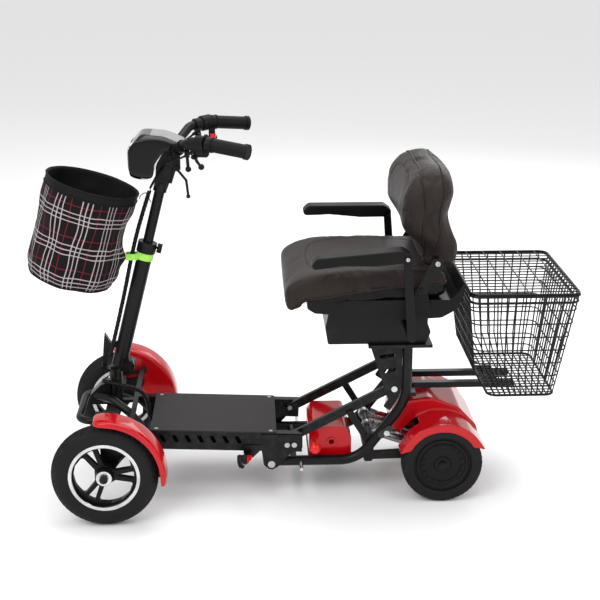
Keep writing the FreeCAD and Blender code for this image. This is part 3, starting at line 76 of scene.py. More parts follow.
class Shader:
    """A Principled material and the few node idioms that the materials below share."""

    def __init__(self, name, color, roughness, metallic=0.0):
        self.material = bpy.data.materials.new(name)
        self.material.use_nodes = True
        self.tree = self.material.node_tree
        self.main = self.tree.nodes["Principled BSDF"]
        self.set("Base Color", (*color, 1))
        self.set("Roughness", roughness)
        self.set("Metallic", metallic)
        if max(color) < 0.05:
            self.set("Specular IOR Level", 0.14)
        self.last_bump = None
        self.place = self.add("ShaderNodeTexCoord").outputs["Object"]

    def add(self, kind, **settings):
        made = self.tree.nodes.new(kind)
        for key, value in settings.items():
            setattr(made, key, value)
        return made

    def set(self, socket, value):
        self.main.inputs[socket].default_value = value

    def feed(self, value, socket):
        """Link an output, or store a plain number, into a socket."""
        if isinstance(value, bpy.types.NodeSocket):
            self.tree.links.new(value, socket)
        else:
            socket.default_value = value

    def math(self, operation, a, b=0.0, c=0.0):
        made = self.add("ShaderNodeMath", operation=operation)
        for value, socket in zip((a, b, c), made.inputs):
            self.feed(value, socket)
        return made.outputs[0]

    def times(self, a, b):
        return self.math("MULTIPLY", a, b)

    def noise(self, scale, detail=4.0, roughness=0.55, place=None):
        made = self.add("ShaderNodeTexNoise")
        self.feed(place or self.place, made.inputs["Vector"])
        made.inputs["Scale"].default_value = scale
        made.inputs["Detail"].default_value = detail
        made.inputs["Roughness"].default_value = roughness
        return made.outputs["Fac"]

    def cells(self, scale, feature="F1", place=None):
        made = self.add("ShaderNodeTexVoronoi", feature=feature)
        self.feed(place or self.place, made.inputs["Vector"])
        made.inputs["Scale"].default_value = scale
        return made.outputs["Distance"]

    def between(self, value, low, high, out_low=0.0, out_high=1.0):
        made = self.add("ShaderNodeMapRange")
        self.feed(value, made.inputs["Value"])
        numbers = (low, high, out_low, out_high)
        for name, number in zip(("From Min", "From Max", "To Min", "To Max"), numbers):
            made.inputs[name].default_value = number
        return made.outputs["Result"]

    def mix(self, factor, a, b):
        made = self.add("ShaderNodeMix", data_type="RGBA")
        self.feed(factor, made.inputs["Factor"])
        for value, name in ((a, "A"), (b, "B")):
            socket = next(s for s in made.inputs if s.name == name and s.type == "RGBA")
            self.feed(value if isinstance(value, bpy.types.NodeSocket) else (*value, 1), socket)
        return next(s for s in made.outputs if s.type == "RGBA")

    def paint(self, value):
        self.feed(value, self.main.inputs["Base Color"])

    def rough(self, value):
        self.feed(value, self.main.inputs["Roughness"])

    def bump(self, height, distance, strength=1.0):
        made = self.add("ShaderNodeBump")
        made.inputs["Distance"].default_value = distance
        made.inputs["Strength"].default_value = strength
        self.feed(height, made.inputs["Height"])
        if self.last_bump:
            self.feed(self.last_bump, made.inputs["Normal"])
        self.last_bump = made.outputs["Normal"]
        self.feed(self.last_bump, self.main.inputs["Normal"])

    def split_place(self):
        made = self.add("ShaderNodeSeparateXYZ")
        self.feed(self.place, made.inputs[0])
        return made.outputs

    def about_axle(self, axle):
        """Distance from an axle that lies across the scooter, and the side-to-side place."""
        x, y, z = self.split_place()
        across = self.math("SUBTRACT", x, axle.x)
        up = self.math("SUBTRACT", z, axle.z)
        return self.math("SQRT", self.math("ADD", self.times(across, across), self.times(up, up))), y

    def cloudy(self, scale, detail, color, other, low=0.3, high=0.75):
        """A slow noise, and the mix of two colours that it makes."""
        patch = self.noise(scale, detail)
        return patch, self.mix(self.between(patch, low, high), color, other)

    def wear(self, amount):
        """Scuffs on outside edges, from the surface's pointiness and a broken noise."""
        geometry = self.add("ShaderNodeNewGeometry")
        edge = self.between(geometry.outputs["Pointiness"], 0.53, 0.6)
        broken = self.between(self.noise(60.0, 6.0), 0.45, 0.62)
        return self.times(self.times(edge, broken), amount)


def powder_coat(name, color, roughness=0.42, grain=900.0):
    """Black oven paint: a fine orange peel, dull patches and faintly rubbed edges."""
    made = Shader(name, color, roughness)
    lighter = tuple(c * 1.25 + 0.0012 for c in color)
    patch, base = made.cloudy(5.0, 3.0, color, lighter)
    made.paint(made.mix(made.wear(0.12), base, (0.08, 0.078, 0.075)))
    made.rough(made.between(patch, 0.3, 0.7, roughness - 0.05, roughness + 0.06))
    made.set("Coat Weight", 0.1)
    made.set("Coat Roughness", 0.22)
    made.bump(made.noise(grain, 2.0), 0.00025, 0.5)
    made.bump(made.noise(120.0, 3.0), 0.0003, 0.25)
    return made.material


def gloss_plastic(name, color, roughness=0.14):
    """Injection-moulded gloss: a clear skin over faint flow marks and dust."""
    made = Shader(name, color, roughness)
    patch, base = made.cloudy(7.0, 4.0, tuple(c * 0.82 for c in color), color, 0.3, 0.7)
    dust = made.between(made.noise(260.0, 5.0), 0.62, 0.8)
    made.paint(made.mix(made.times(dust, 0.012), base, (0.75, 0.72, 0.7)))
    made.rough(made.between(patch, 0.25, 0.75, roughness - 0.04, roughness + 0.08))
    made.set("Specular IOR Level", 0.14 if max(color) < 0.05 else 0.26)
    made.set("Coat Weight", 0.25)
    made.set("Coat Roughness", 0.05)
    made.bump(made.noise(26.0, 3.0), 0.0006, 0.18)
    return made.material


def matte_plastic(name, color, roughness=0.5, scale=1300.0):
    """Moulded plastic with a spark-eroded grain."""
    made = Shader(name, color, roughness)
    patch, base = made.cloudy(14.0, 4.0, color, tuple(c * 1.4 + 0.002 for c in color))
    made.paint(base)
    made.rough(made.between(patch, 0.3, 0.7, roughness - 0.06, roughness + 0.08))
    made.bump(made.cells(scale), 0.0002, 0.5)
    return made.material


def bright_metal(name, color, roughness=0.22):
    """Zinc-plated steel: fine scratches along one way and cloudy patches."""
    made = Shader(name, color, roughness, 1.0)
    scratch = made.add("ShaderNodeMapping")
    made.feed(made.place, scratch.inputs["Vector"])
    scratch.inputs["Scale"].default_value = (1.0, 14.0, 14.0)
    lines = made.noise(190.0, 3.0, 0.6, scratch.outputs["Vector"])
    cloud, base = made.cloudy(40.0, 3.0, color, tuple(c * 0.75 for c in color), 0.3, 0.8)
    made.rough(made.between(cloud, 0.3, 0.7, roughness - 0.06, roughness + 0.14))
    made.paint(base)
    made.bump(lines, 0.0001, 0.4)
    return made.material


def rubber(name, color, roughness=0.62, scale=700.0):
    """Moulded rubber: a fine matte grain with dusty patches."""
    made = Shader(name, color, roughness)
    patch, base = made.cloudy(11.0, 5.0, color, tuple(c * 1.5 + 0.0025 for c in color), 0.35, 0.8)
    made.paint(base)
    made.rough(made.between(patch, 0.3, 0.7, roughness - 0.08, roughness + 0.1))
    made.bump(made.noise(scale, 3.0), 0.0003, 0.5)
    return made.material


def tyre_rubber(name, axle, tread_radius):
    """Tyre: darker tread with dust in its grooves, and a smoother side wall."""
    black = (0.009, 0.009, 0.0095)
    made = Shader(name, black, 0.62)
    radius, _ = made.about_axle(axle)
    tread = made.between(radius, tread_radius - 0.018, tread_radius - 0.003)
    dust = made.times(tread, made.between(made.noise(70.0, 6.0), 0.4, 0.75))
    made.paint(made.mix(made.times(dust, 0.4), black, (0.045, 0.042, 0.04)))
    made.rough(made.between(tread, 0.0, 1.0, 0.5, 0.8))
    made.bump(made.noise(420.0, 4.0), 0.0003, 0.5)
    return made.material


def cast_rim(name, axle):
    """Black cast wheel with a machined ring at its edge and a bare hub face."""
    black = (0.006, 0.006, 0.0065)
    rim_edge, rim_flank = 0.0755, 0.0185
    hub_radius, hub_face = 0.0185, 0.0235
    made = Shader(name, black, 0.38)
    radius, y = made.about_axle(axle)
    ring = made.math("GREATER_THAN", radius, rim_edge)
    out = made.math("ABSOLUTE", made.math("SUBTRACT", y, axle.y))
    flank = made.math("GREATER_THAN", out, rim_flank)
    hub = made.times(made.math("LESS_THAN", radius, hub_radius),
                    made.math("GREATER_THAN", out, hub_face))
    bare = made.math("MINIMUM", made.math("ADD", made.times(ring, flank), hub), 1.0)
    turned = made.math("SINE", made.times(radius, 9000.0))
    _, silver = made.cloudy(30.0, 4.0, (0.72, 0.72, 0.73), (0.5, 0.5, 0.51), 0.3, 0.7)
    made.paint(made.mix(bare, black, silver))
    made.feed(bare, made.main.inputs["Metallic"])
    made.rough(made.between(bare, 0.0, 1.0, 0.4, 0.24))
    made.bump(made.times(turned, bare), 0.00005, 0.4)
    made.bump(made.noise(500.0, 2.0), 0.0002, 0.35)
    return made.material


def leather(name, color):
    """Grained leatherette: cell-shaped grain, soft creases, and sheen where it is handled."""
    made = Shader(name, color, 0.42)
    grain = made.cells(620.0, "DISTANCE_TO_EDGE")
    pores = made.noise(1500.0, 2.0)
    crease = made.noise(22.0, 5.0, 0.65)
    patch, base = made.cloudy(6.0, 3.0, color, tuple(c * 1.4 + 0.003 for c in color))
    groove = made.between(grain, 0.0, 0.12, 1.0, 0.0)
    made.paint(made.mix(made.times(groove, 0.45), base, tuple(c * 0.45 for c in color)))
    made.rough(made.between(patch, 0.3, 0.7, 0.36, 0.5))
    made.set("Specular IOR Level", 0.18)
    made.set("Sheen Weight", 0.02)
    made.set("Sheen Roughness", 0.4)
    made.bump(crease, 0.0016, 0.22)
    made.bump(made.between(grain, 0.0, 0.15), 0.00035, 0.6)
    made.bump(pores, 0.0001, 0.4)
    return made.material


def plaid(name):
    """Tartan cloth: triple white stripes and a fine red line each way, over a twill."""
    made = Shader(name, (0.015, 0.014, 0.015), 0.85)
    uv = made.add("ShaderNodeUVMap", uv_map="cloth").outputs[0]
    parts = made.add("ShaderNodeSeparateXYZ")
    made.feed(uv, parts.inputs[0])
    first, apart, half = 0.012, 0.0112, 0.00135      # the three white lines
    red_line, band_middle, band_half = 0.0535, 0.0232, 0.0165
    white, red, band = [], [], []
    for value, pitch in ((parts.outputs[0], 0.066), (parts.outputs[1], 0.078)):
        place = made.math("FLOORED_MODULO", value, pitch)
        lines = [made.math("COMPARE", place, first + apart * k, half) for k in range(3)]
        white.append(made.math("MAXIMUM", made.math("MAXIMUM", lines[0], lines[1]), lines[2]))
        red.append(made.math("COMPARE", place, red_line, 0.0008))
        band.append(made.math("COMPARE", place, band_middle, band_half))
    slant = made.math("ADD", parts.outputs[0], parts.outputs[1])
    twill = made.math("SINE", made.times(slant, 5200.0))
    over = made.between(twill, -0.4, 0.4)
    maroon = made.times(made.math("ADD", band[0], band[1]), 0.5)
    ground = made.mix(maroon, (0.0075, 0.0068, 0.007), (0.0125, 0.0035, 0.005))
    reds = made.times(made.math("MAXIMUM", red[0], red[1]), 0.6)
    ground = made.mix(reds, ground, (0.34, 0.02, 0.045))
    warp = made.times(white[0], made.between(over, 0.0, 1.0, 0.62, 0.95))
    weft = made.times(white[1], made.between(over, 0.0, 1.0, 0.9, 0.6))
    white_thread = (0.5, 0.46, 0.48)
    striped = made.mix(weft, made.mix(warp, ground, white_thread), white_thread)
    fuzz = made.noise(900.0, 3.0)
    made.paint(made.mix(made.between(fuzz, 0.3, 0.8, 0.0, 0.04), striped, (0.09, 0.085, 0.088)))
    made.set("Specular IOR Level", 0.08)
    made.set("Sheen Weight", 0.03)
    made.set("Sheen Roughness", 0.5)
    made.bump(twill, 0.00018, 0.5)
    made.bump(made.noise(45.0, 4.0), 0.0012, 0.25)
    return made.material


def webbing(name, color):
    """Woven nylon tape: fine ribs across and a soft sheen."""
    made = Shader(name, color, 0.7)
    x, y, z = made.split_place()
    ribs = made.math("SINE", made.times(z, 4800.0))
    cross = made.math("SINE", made.times(made.math("ADD", x, y), 6200.0))
    weave = made.times(ribs, cross)
    _, base = made.cloudy(60.0, 4.0, color, tuple(c * 0.8 for c in color), 0.3, 0.8)
    made.paint(base)
    made.set("Sheen Weight", 0.5)
    made.bump(weave, 0.0003, 0.6)
    return made.material


def deck_coat(name):
    """Textured grey paint of the foot board, with lighter scuffs from shoes scattered over it."""
    made = Shader(name, (0.028, 0.026, 0.0262), 0.6)
    grit = made.cells(900.0)
    patch, base = made.cloudy(5.0, 5.0, (0.022, 0.02, 0.0205), (0.036, 0.033, 0.033))
    scuff = made.between(made.noise(34.0, 8.0, 0.7), 0.58, 0.75)
    made.paint(made.mix(made.times(scuff, 0.25), base, (0.085, 0.08, 0.078)))
    made.rough(made.between(patch, 0.3, 0.7, 0.5, 0.68))
    made.bump(grit, 0.0004, 0.55)
    return made.material


def hook_plastic(name, centre):
    """Black moulding whose round knob, about a point, is moulded in red."""
    black, knob_radius = (0.008, 0.008, 0.008), 0.0165
    made = Shader(name, black, 0.3)
    gap = made.add("ShaderNodeVectorMath", operation="DISTANCE")
    made.feed(made.place, gap.inputs[0])
    gap.inputs[1].default_value = centre
    knob = made.math("LESS_THAN", gap.outputs["Value"], knob_radius)
    patch = made.noise(20.0, 3.0)
    red = made.mix(patch, (0.5, 0.004, 0.008), (0.7, 0.008, 0.012))
    made.paint(made.mix(knob, black, red))
    made.bump(made.noise(600.0, 2.0), 0.0002, 0.3)
    return made.material


def bolts_and_plates(name):
    """Plated bolts, with the black gussets that one pair of them passes through."""
    made = Shader(name, (0.62, 0.62, 0.63), 0.25)
    _, y, z = made.split_place()
    gusset_face, gusset_height, gusset_half = 0.1262, 0.17, 0.03
    inward = made.math("LESS_THAN", made.math("ABSOLUTE", y), gusset_face)
    level = made.math("COMPARE", z, gusset_height, gusset_half)
    plate = made.times(inward, level)
    cloud, steel = made.cloudy(40.0, 3.0, (0.62, 0.62, 0.63), (0.45, 0.45, 0.46), 0.3, 0.8)
    made.paint(made.mix(plate, steel, (0.004, 0.004, 0.0045)))
    made.feed(made.math("SUBTRACT", 1.0, plate), made.main.inputs["Metallic"])
    made.rough(made.between(cloud, 0.3, 0.7, 0.2, 0.38))
    made.bump(made.noise(700.0, 2.0), 0.0001, 0.4)
    return made.material


def lamp_lens(name):
    """Frosted white lens with moulded ribs, their lit and shaded sides painted into its colour."""
    made = Shader(name, (0.82, 0.84, 0.86), 0.16)
    y = made.split_place()[1]
    ribs = made.math("SINE", made.times(y, 2400.0))
    # painted shade: the colour goes lighter and darker with the same rib wave that bumps the surface
    made.paint(made.mix(made.between(ribs, -1.0, 1.0), (0.7, 0.72, 0.75), (0.93, 0.94, 0.95)))
    made.set("Coat Weight", 0.8)
    made.bump(ribs, 0.0006, 0.4)
    return made.material


def make_materials():
    """Every material that more than one function may ask for, by a short name."""
    return {
        "frame": powder_coat("frame_paint", (0.0035, 0.0035, 0.0038), 0.33),
        "wire": powder_coat("dipped_wire", (0.0035, 0.0035, 0.0038), 0.3, 500.0),
        "deck": deck_coat("deck_coat"),
        "red": gloss_plastic("red_moulding", (0.52, 0.0025, 0.007)),
        "black": matte_plastic("black_moulding", (0.0045, 0.0045, 0.0048), 0.38),
        "vinyl": matte_plastic("black_vinyl", (0.004, 0.0038, 0.0038), 0.42, 900.0),
        # grey of the display panel on top of the pod, lightened to stand in for the light sheen there:
        # partly panel colour, partly painted sheen
        "top_panel_sheen": matte_plastic("top_panel_painted_sheen", (0.2, 0.2, 0.205), 0.35),
        "gloss_black": gloss_plastic("gloss_black", (0.0025, 0.0025, 0.0028), 0.1),
        "steel": bright_metal("plated_steel", (0.5, 0.5, 0.51)),
        "gusset": bolts_and_plates("bolts_and_plates"),
        "spring": bright_metal("spring_steel", (0.5, 0.5, 0.51), 0.18),
        "grip": rubber("grip_rubber", (0.0045, 0.0045, 0.0045), 0.5),
        "cable": rubber("cable_skin", (0.005, 0.005, 0.005), 0.34),
        "leather": leather("brown_leather", (0.0165, 0.0106, 0.0094)),
        "lining": rubber("bag_lining", (0.006, 0.0058, 0.006), 0.7),
        "plaid": plaid("plaid_cloth"),
        "strap": webbing("green_webbing", (0.42, 0.95, 0.1)),
        "knob": gloss_plastic("knob_red", (0.72, 0.01, 0.012), 0.2),
        "button": gloss_plastic("button_pink", (0.85, 0.12, 0.2), 0.25),
        "lens": lamp_lens("lamp_lens"),
        "thread": rubber("seam_thread", (0.045, 0.035, 0.034), 0.8),
    }


MATERIALS = make_materials()


def use(obj, material):
    """Give an object one material."""
    obj.data.materials.clear()
    obj.data.materials.append(MATERIALS[material] if isinstance(material, str) else material)


# ---------------------------------------------------------------- mesh building blocks


def belong(obj, body=None, node=None):
    """Hide the CAD node a piece stands for, and attach the piece to the body it rides on."""
    if node:
        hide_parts(node)
    if body:
        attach(obj, body)
    return obj


def into_scene(name, data):
    """An object that holds the data, in the scene's own collection."""
    obj = bpy.data.objects.new(name, data)
    bpy.context.scene.collection.objects.link(obj)
    return obj


def circle(steps):
    """Cosine and sine of evenly spaced angles, once round."""
    turns = (2 * math.pi * k / steps for k in range(steps))
    return [(math.cos(turn), math.sin(turn)) for turn in turns]


def power(value, exponent):
    """A power that keeps the sign, which squares off a circle."""
    return math.copysign(abs(value) ** exponent, value)


def on_wheel(centre, radius, turn, out):
    """A point at a radius and angle about an axle across the scooter, moved along it by out."""
    return centre.x + radius * math.cos(turn), centre.y + out, centre.z + radius * math.sin(turn)


def mesh_object(name, verts, faces, material, smooth=True):
    """A mesh piece from its points and faces, with its material."""
    mesh = bpy.data.meshes.new(name)
    mesh.from_pydata([tuple(v) for v in verts], [], faces)
    mesh.update()
    obj = into_scene(name, mesh)
    if smooth:
        mesh.shade_smooth()
    use(obj, material)
    return obj


def grid_faces(rows, columns, wrap_rows=False, wrap_columns=False):
    """Faces of a grid whose vertices are listed row by row."""
    faces = []
    for i in range(rows if wrap_rows else rows - 1):
        for j in range(columns if wrap_columns else columns - 1):
            a, b = i * columns + j, i * columns + (j + 1) % columns
            c, d = ((i + 1) % rows) * columns + (j + 1) % columns, ((i + 1) % rows) * columns + j
            faces.append((a, b, c, d))
    return faces


def tidy_normals(obj):
    """Join doubled points and turn the faces outwards."""
    work = bmesh.new()
    work.from_mesh(obj.data)
    bmesh.ops.remove_doubles(work, verts=work.verts, dist=1e-6)
    bmesh.ops.recalc_face_normals(work, faces=work.faces)
    work.to_mesh(obj.data)
    work.free()


def swept(name, verts, columns, material, closed=False, smooth=True):
    """A mesh whose points are loops of so many columns, one after the other, closed at its ends."""
    faces = grid_faces(len(verts) // columns, columns, closed, True)
    if not closed:
        faces += [tuple(range(columns)), tuple(reversed(range(len(verts) - columns, len(verts))))]
    obj = mesh_object(name, verts, faces, material, smooth)
    tidy_normals(obj)
    return obj


def modifier(obj, kind, name, **settings):
    """A new modifier of the object, with its settings."""
    made = obj.modifiers.new(name, kind)
    for key, value in settings.items():
        setattr(made, key, value)
    return made


def evaluated_mesh(obj):
    """A new mesh of the object as its modifiers or its curve settings make it."""
    bpy.context.view_layer.update()
    graph = bpy.context.evaluated_depsgraph_get()
    return bpy.data.meshes.new_from_object(obj.evaluated_get(graph))


def bake_modifiers(obj):
    """Replace an object's mesh by what its modifiers make of it."""
    mesh = evaluated_mesh(obj)
    obj.modifiers.clear()
    obj.data = mesh
    return obj


def round_curve(name, radius, resolution):
    """An empty curve whose splines become round rods with closed ends."""
    curve = bpy.data.curves.new(name, "CURVE")
    curve.dimensions = "3D"
    curve.bevel_depth = radius
    curve.bevel_resolution = resolution
    curve.use_fill_caps = True
    return curve


def spline_through(curve, kind, path):
    """A new spline of the curve, with one point at each place of the path."""
    spline = curve.splines.new(kind)
    spline.points.add(len(path) - 1)
    for point, place in zip(spline.points, path):
        point.co = (*place, 1)
    return spline


def wires(name, paths, radius, material, body, resolution=2, closed=False, node=None):
    """Thin round wires or cords through points, as one curve piece."""
    curve = round_curve(name, radius, resolution)
    for path in paths:
        spline = spline_through(curve, "POLY", path)
        spline.use_cyclic_u = closed
        spline.use_smooth = True
    obj = into_scene(name, curve)
    use(obj, material)
    return belong(obj, body, node)


def smooth_path(points, steps=8, closed=False):
    """A Catmull-Rom curve through given points."""
    count = len(points)
    path = []
    spans = count if closed else count - 1
    for i in range(spans):
        if closed:
            a, b, c, d = (points[(i + k - 1) % count] for k in range(4))
        else:
            a = points[max(i - 1, 0)]
            b, c = points[i], points[i + 1]
            d = points[min(i + 2, count - 1)]
        for k in range(steps):
            t = k / steps
            path.append(
                0.5 * ((2 * b) + (c - a) * t + (2 * a - 5 * b + 4 * c - d) * t * t
                       + (3 * b - a - 3 * c + d) * t * t * t)
            )
    if not closed:
        path.append(points[-1].copy())
    return path


def lathe(name, profile, centre, axis_sign, material, body, steps=96):
    """A black plastic piece: (radius, offset) points turned about an axis across the scooter."""
    verts = [on_wheel(centre, radius, 2 * math.pi * i / steps, axis_sign * out)
             for i in range(steps) for radius, out in profile]
    return belong(swept(name, verts, len(profile), material, True), body)


def ring_on(name, centre, direction, radius, thick):
    """A thin rubber ring about a direction, on the head."""
    turn = Vector(direction).to_track_quat("Z", "Y").to_matrix()
    path = [centre + turn @ Vector((radius * c, radius * s, 0)) for c, s in circle(36)]
    return wires(name, [path], thick, "grip", "head", closed=True)


def interpolate(points, value):
    """Straight-line interpolation in a short list of (place, number)."""
    if value <= points[0][0]:
        return points[0][1]
    for (a, low), (b, high) in zip(points, points[1:]):
        if value <= b:
            return low + (high - low) * (value - a) / (b - a)
    return points[-1][1]


# ---------------------------------------------------------------- stage, light and camera


def make_stage():
    """A sheet of white paper, far larger than the scooter."""
    paper = Shader("floor_paper", (0.93, 0.93, 0.93), 0.9)
    paper.set("Specular IOR Level", 0.1)
    reach = 60.0
    corners = [(-reach, -reach, 0), (reach, -reach, 0), (reach, reach, 0), (-reach, reach, 0)]
    mesh_object("floor", corners, [(0, 1, 2, 3)], paper.material, smooth=False)


def make_lights():
    """Four soft lamps that look at a point above the deck, in an evenly white room."""
    world = bpy.data.worlds.new("studio")
    world.use_nodes = True
    colour, strength = world.node_tree.nodes["Background"].inputs[:2]
    colour.default_value, strength.default_value = (1, 1, 1, 1), 0.82
    bpy.context.scene.world = world
    lamps = [
        ("key", (-1.8, -2.6, 3.2), 2.2, 62.0),
        ("fill", (2.6, -2.2, 2.2), 2.4, 22.0),
        ("top", (0.2, 0.6, 3.6), 2.6, 62.0),
        ("rear", (1.5, 3.0, 2.4), 2.0, 30.0),
    ]
    for name, place, size, watts in lamps:
        light = bpy.data.lights.new(name, "AREA")
        light.size = size
        light.energy = watts
        lamp = into_scene(name, light)
        lamp.location = place
        lamp.rotation_euler = (Vector((0, 0, 0.4)) - Vector(place)).to_track_quat("-Z", "Y").to_euler()


def make_camera():
    """The viewpoint: about 3 m to the left and 1.4 m up, looking slightly down."""
    camera = bpy.data.cameras.new("camera")
    camera.sensor_width = 36.0
    camera.lens = 77.1
    camera.clip_end = 100.0
    holder = into_scene("camera", camera)
    holder.location = spot(348.0, -3043.4, 1444.2)
    pitch, yaw = 0.308, 0.041
    holder.rotation_euler = (math.pi / 2 - pitch, 0, -yaw)
    bpy.context.scene.camera = holder


# ---------------------------------------------------------------- CAD nodes that stay


def dress_nodes():
    """Materials of the CAD nodes whose shape is right as it is."""
    table = {
        "frame": ["deck_frame", "front_tubes", "fold_brackets", "steering_column", "tie_rod",
                  "knuckle_left", "knuckle_right", "stem_tube", "stem_latch", "upper_post", "handlebar",
                  "rear_frame", "rear_plates", "struts", "seat_box", "basket_bars", "swing_arm"],
        "deck": ["deck_plate", "front_beam"],
        "steel": ["deck_bolts", "shock_rods", "shock_bodies"],
        "gusset": ["frame_bolts"],
        "spring": ["shock_springs"],
        "red": ["battery_case"],
        "black": ["control_clamps", "brake_lever_left", "brake_lever_right", "park_lever", "throttle_paddle",
                  "clamp_knob", "seat_pan", "rear_hub_left", "rear_hub_right"],
        "grip": ["grips"],
        "knob": ["lock_plunger", "rocker_switch"],
        "button": ["safety_button"],
    }
    for material, names in table.items():
        for name in names:
            use(NODES[name], material)
    use(NODES["latch_hook"], hook_plastic("hook_and_knob", spot(349, -158, 117)))
    for side in (LEFT, RIGHT):
        rim = f"front_rim_{NAMES[side]}"
        use(NODES[rim], cast_rim(f"rim_{NAMES[side]}", middle(rim)))


# ---------------------------------------------------------------- the pieces


BAG_HEIGHT = 0.247
BAG_MIDDLE = 0.1155      # a middling radius, which turns angles into cloth lengths
BAG_WALL = 0.0032        # cloth and lining together


def bag_place(angle, lift, radius):
    """A point of the bag, from the angle about its leaning axis, the height up it and the radius."""
    tilt = math.radians(16.5)
    base = spot(-94, 0, 541)
    x, y = radius * math.cos(angle), radius * math.sin(angle)
    return base + Vector(
        (x * math.cos(tilt) + lift * math.sin(tilt), y, -x * math.sin(tilt) + lift * math.cos(tilt))
    )


def bag_radius(angle, lift):
    """Outer radius of the sagging wall, drawn in at the back and out to the strap that holds it."""
    share = lift / BAG_HEIGHT
    radius = 0.1152 + 0.0028 * share
    radius -= 0.010 * math.exp(-(share / 0.07) ** 2)
    sag = 0.0016 * math.sin(3 * angle + 0.7) + 0.0011 * math.sin(7 * angle + 5.0 * share)
    crumple = noise.noise(Vector((math.cos(angle) * 2.2, math.sin(angle) * 2.2, share * 3.2)))
    fine = noise.noise(Vector((math.cos(angle) * 5.5, math.sin(angle) * 5.5, share * 9.0 + 4)))
    calm = 1 - 0.75 * math.exp(-((share - 1) / 0.1) ** 2)
    radius += calm * (sag + 0.0052 * crumple + 0.0018 * fine) - 0.0034
    back = max(0.0, math.cos(angle)) ** 3
    pinched = math.exp(-((share - 0.62) / 0.2) ** 2)
    radius -= back * (0.003 + 0.011 * pinched)
    radius += 0.0115 * max(0.0, math.cos(angle)) ** 36 * math.exp(-((share - 0.35) / 0.08) ** 2)
    return radius


def make_bag():
    """Shopping bag: sewn plaid wall with a bound rim, a lining and a stiff floor."""
    around, up, binding = 192, 96, 0.915
    rows = [("floor", k / 7) for k in range(7)] + [("wall", k / up) for k in range(up + 1)]
    rows += [("inside", 1 - k / 40) for k in range(41)] + [("inner_floor", 1 - k / 7) for k in range(1, 7)]
    verts, cloth = [], []
    for kind, share in rows:
        for j in range(around):
            angle = 2 * math.pi * j / around
            if kind == "floor":
                radius, lift = bag_radius(angle, 0.0) * max(share, 0.02), 0.0008 + 0.003 * (1 - share)
            elif kind == "wall":
                lift = 0.0008 + share * (BAG_HEIGHT - 0.001)
                radius = bag_radius(angle, lift)
            elif kind == "inside":
                lift = 0.006 + share * (BAG_HEIGHT - 0.0062)
                radius = bag_radius(angle, lift) - BAG_WALL
            else:
                lift = 0.0062
                radius = (bag_radius(angle, 0.006) - BAG_WALL) * max(share, 0.02)
            verts.append(bag_place(angle, lift, radius))
            ripple = Vector((math.cos(angle) * 3.0, math.sin(angle) * 3.0, lift * 16))
            shift = 0.0048 * noise.noise(ripple), 0.0042 * noise.noise(ripple + Vector((9, 0, 0)))
            cloth.append((angle * BAG_MIDDLE + shift[0], lift + shift[1]))
    obj = mesh_object("bag_cloth", verts, grid_faces(len(rows), around, False, True), "plaid")
    obj.data.materials.append(MATERIALS["lining"])
    layer = obj.data.uv_layers.new(name="cloth")
    for face in obj.data.polygons:
        row = face.index // around
        if rows[row][0] != "wall" or rows[row][1] > binding:
            face.material_index = 1
        wraps = face.index % around == around - 1
        for loop in face.loop_indices:
            vertex = obj.data.loops[loop].vertex_index
            u, v = cloth[vertex]
            if wraps and vertex % around == 0:
                u += 2 * math.pi * BAG_MIDDLE
            layer.data[loop].uv = (u, v)
    belong(obj, "stem", "front_bag")
    turns = [2 * math.pi * k / 160 for k in range(160)]
    paths = [[bag_place(a, lift, bag_radius(a, lift) + out) for a in turns]
             for lift, out in ((0.2465, 0.0004), (0.2262, 0.0006), (0.004, 0.0006))]
    wires("bag_binding", paths, 0.0016, "lining", "stem", closed=True)


STEM_TILT = math.radians(14.5)


def stem_spot(distance, forward=0.0, y=0.0):
    """A point beside the stem's axis, measured up it from its fold joint, in millimetres."""
    x = 21.0 + distance * math.sin(STEM_TILT) - forward * math.cos(STEM_TILT)
    z = 318.0 + distance * math.cos(STEM_TILT) + forward * math.sin(STEM_TILT)
    return spot(x, y, z)


def make_strap():
    """Green tape: one turn round the stem, and the band that holds the bag."""
    along = Vector((math.sin(STEM_TILT), 0, math.cos(STEM_TILT)))
    ahead = Vector((-along.z, 0, along.x))
    side = Vector((0, 1, 0))
    centre = stem_spot(286)
    loop = []
    for k in range(72):
        angle = 2 * math.pi * k / 72
        reach = 0.0206 + 0.0004 * math.sin(5 * angle)
        loop.append(centre + ahead * reach * math.cos(angle) + side * reach * math.sin(angle))
    tape("strap_turn", loop, along, 0.0088, True)
    half_band = [(-11.6, 83), (-12.0, 68), (-12.2, 53), (-11, 47.4), (-6, 46.6)]
    band = half_band + [(0, 46.4)] + [(-y, x) for y, x in reversed(half_band)]
    path = [spot(x, y, 594) for y, x in band]
    tape("strap_band", smooth_path(path, 6), Vector((0, 0, 1)), 0.0077, False, "strap")


def tape(name, path, across_way, half_width, closed, node=None, half_thick=0.0006):
    """Flat webbing along a path, half_width to each side of it."""
    count = len(path)
    verts = []
    for i, place in enumerate(path):
        before = path[(i - 1) % count] if closed or i else place
        after = path[(i + 1) % count] if closed or i < count - 1 else place
        run = (after - before).normalized()
        out = run.cross(across_way).normalized()
        for u, v in ((-1, -1), (1, -1), (1, 1), (-1, 1)):
            verts.append(place + across_way * half_width * u + out * half_thick * v)
    return belong(swept(name, verts, 4, "strap", closed, False), "stem", node)


# ---------------------------------------------------------------- upholstery


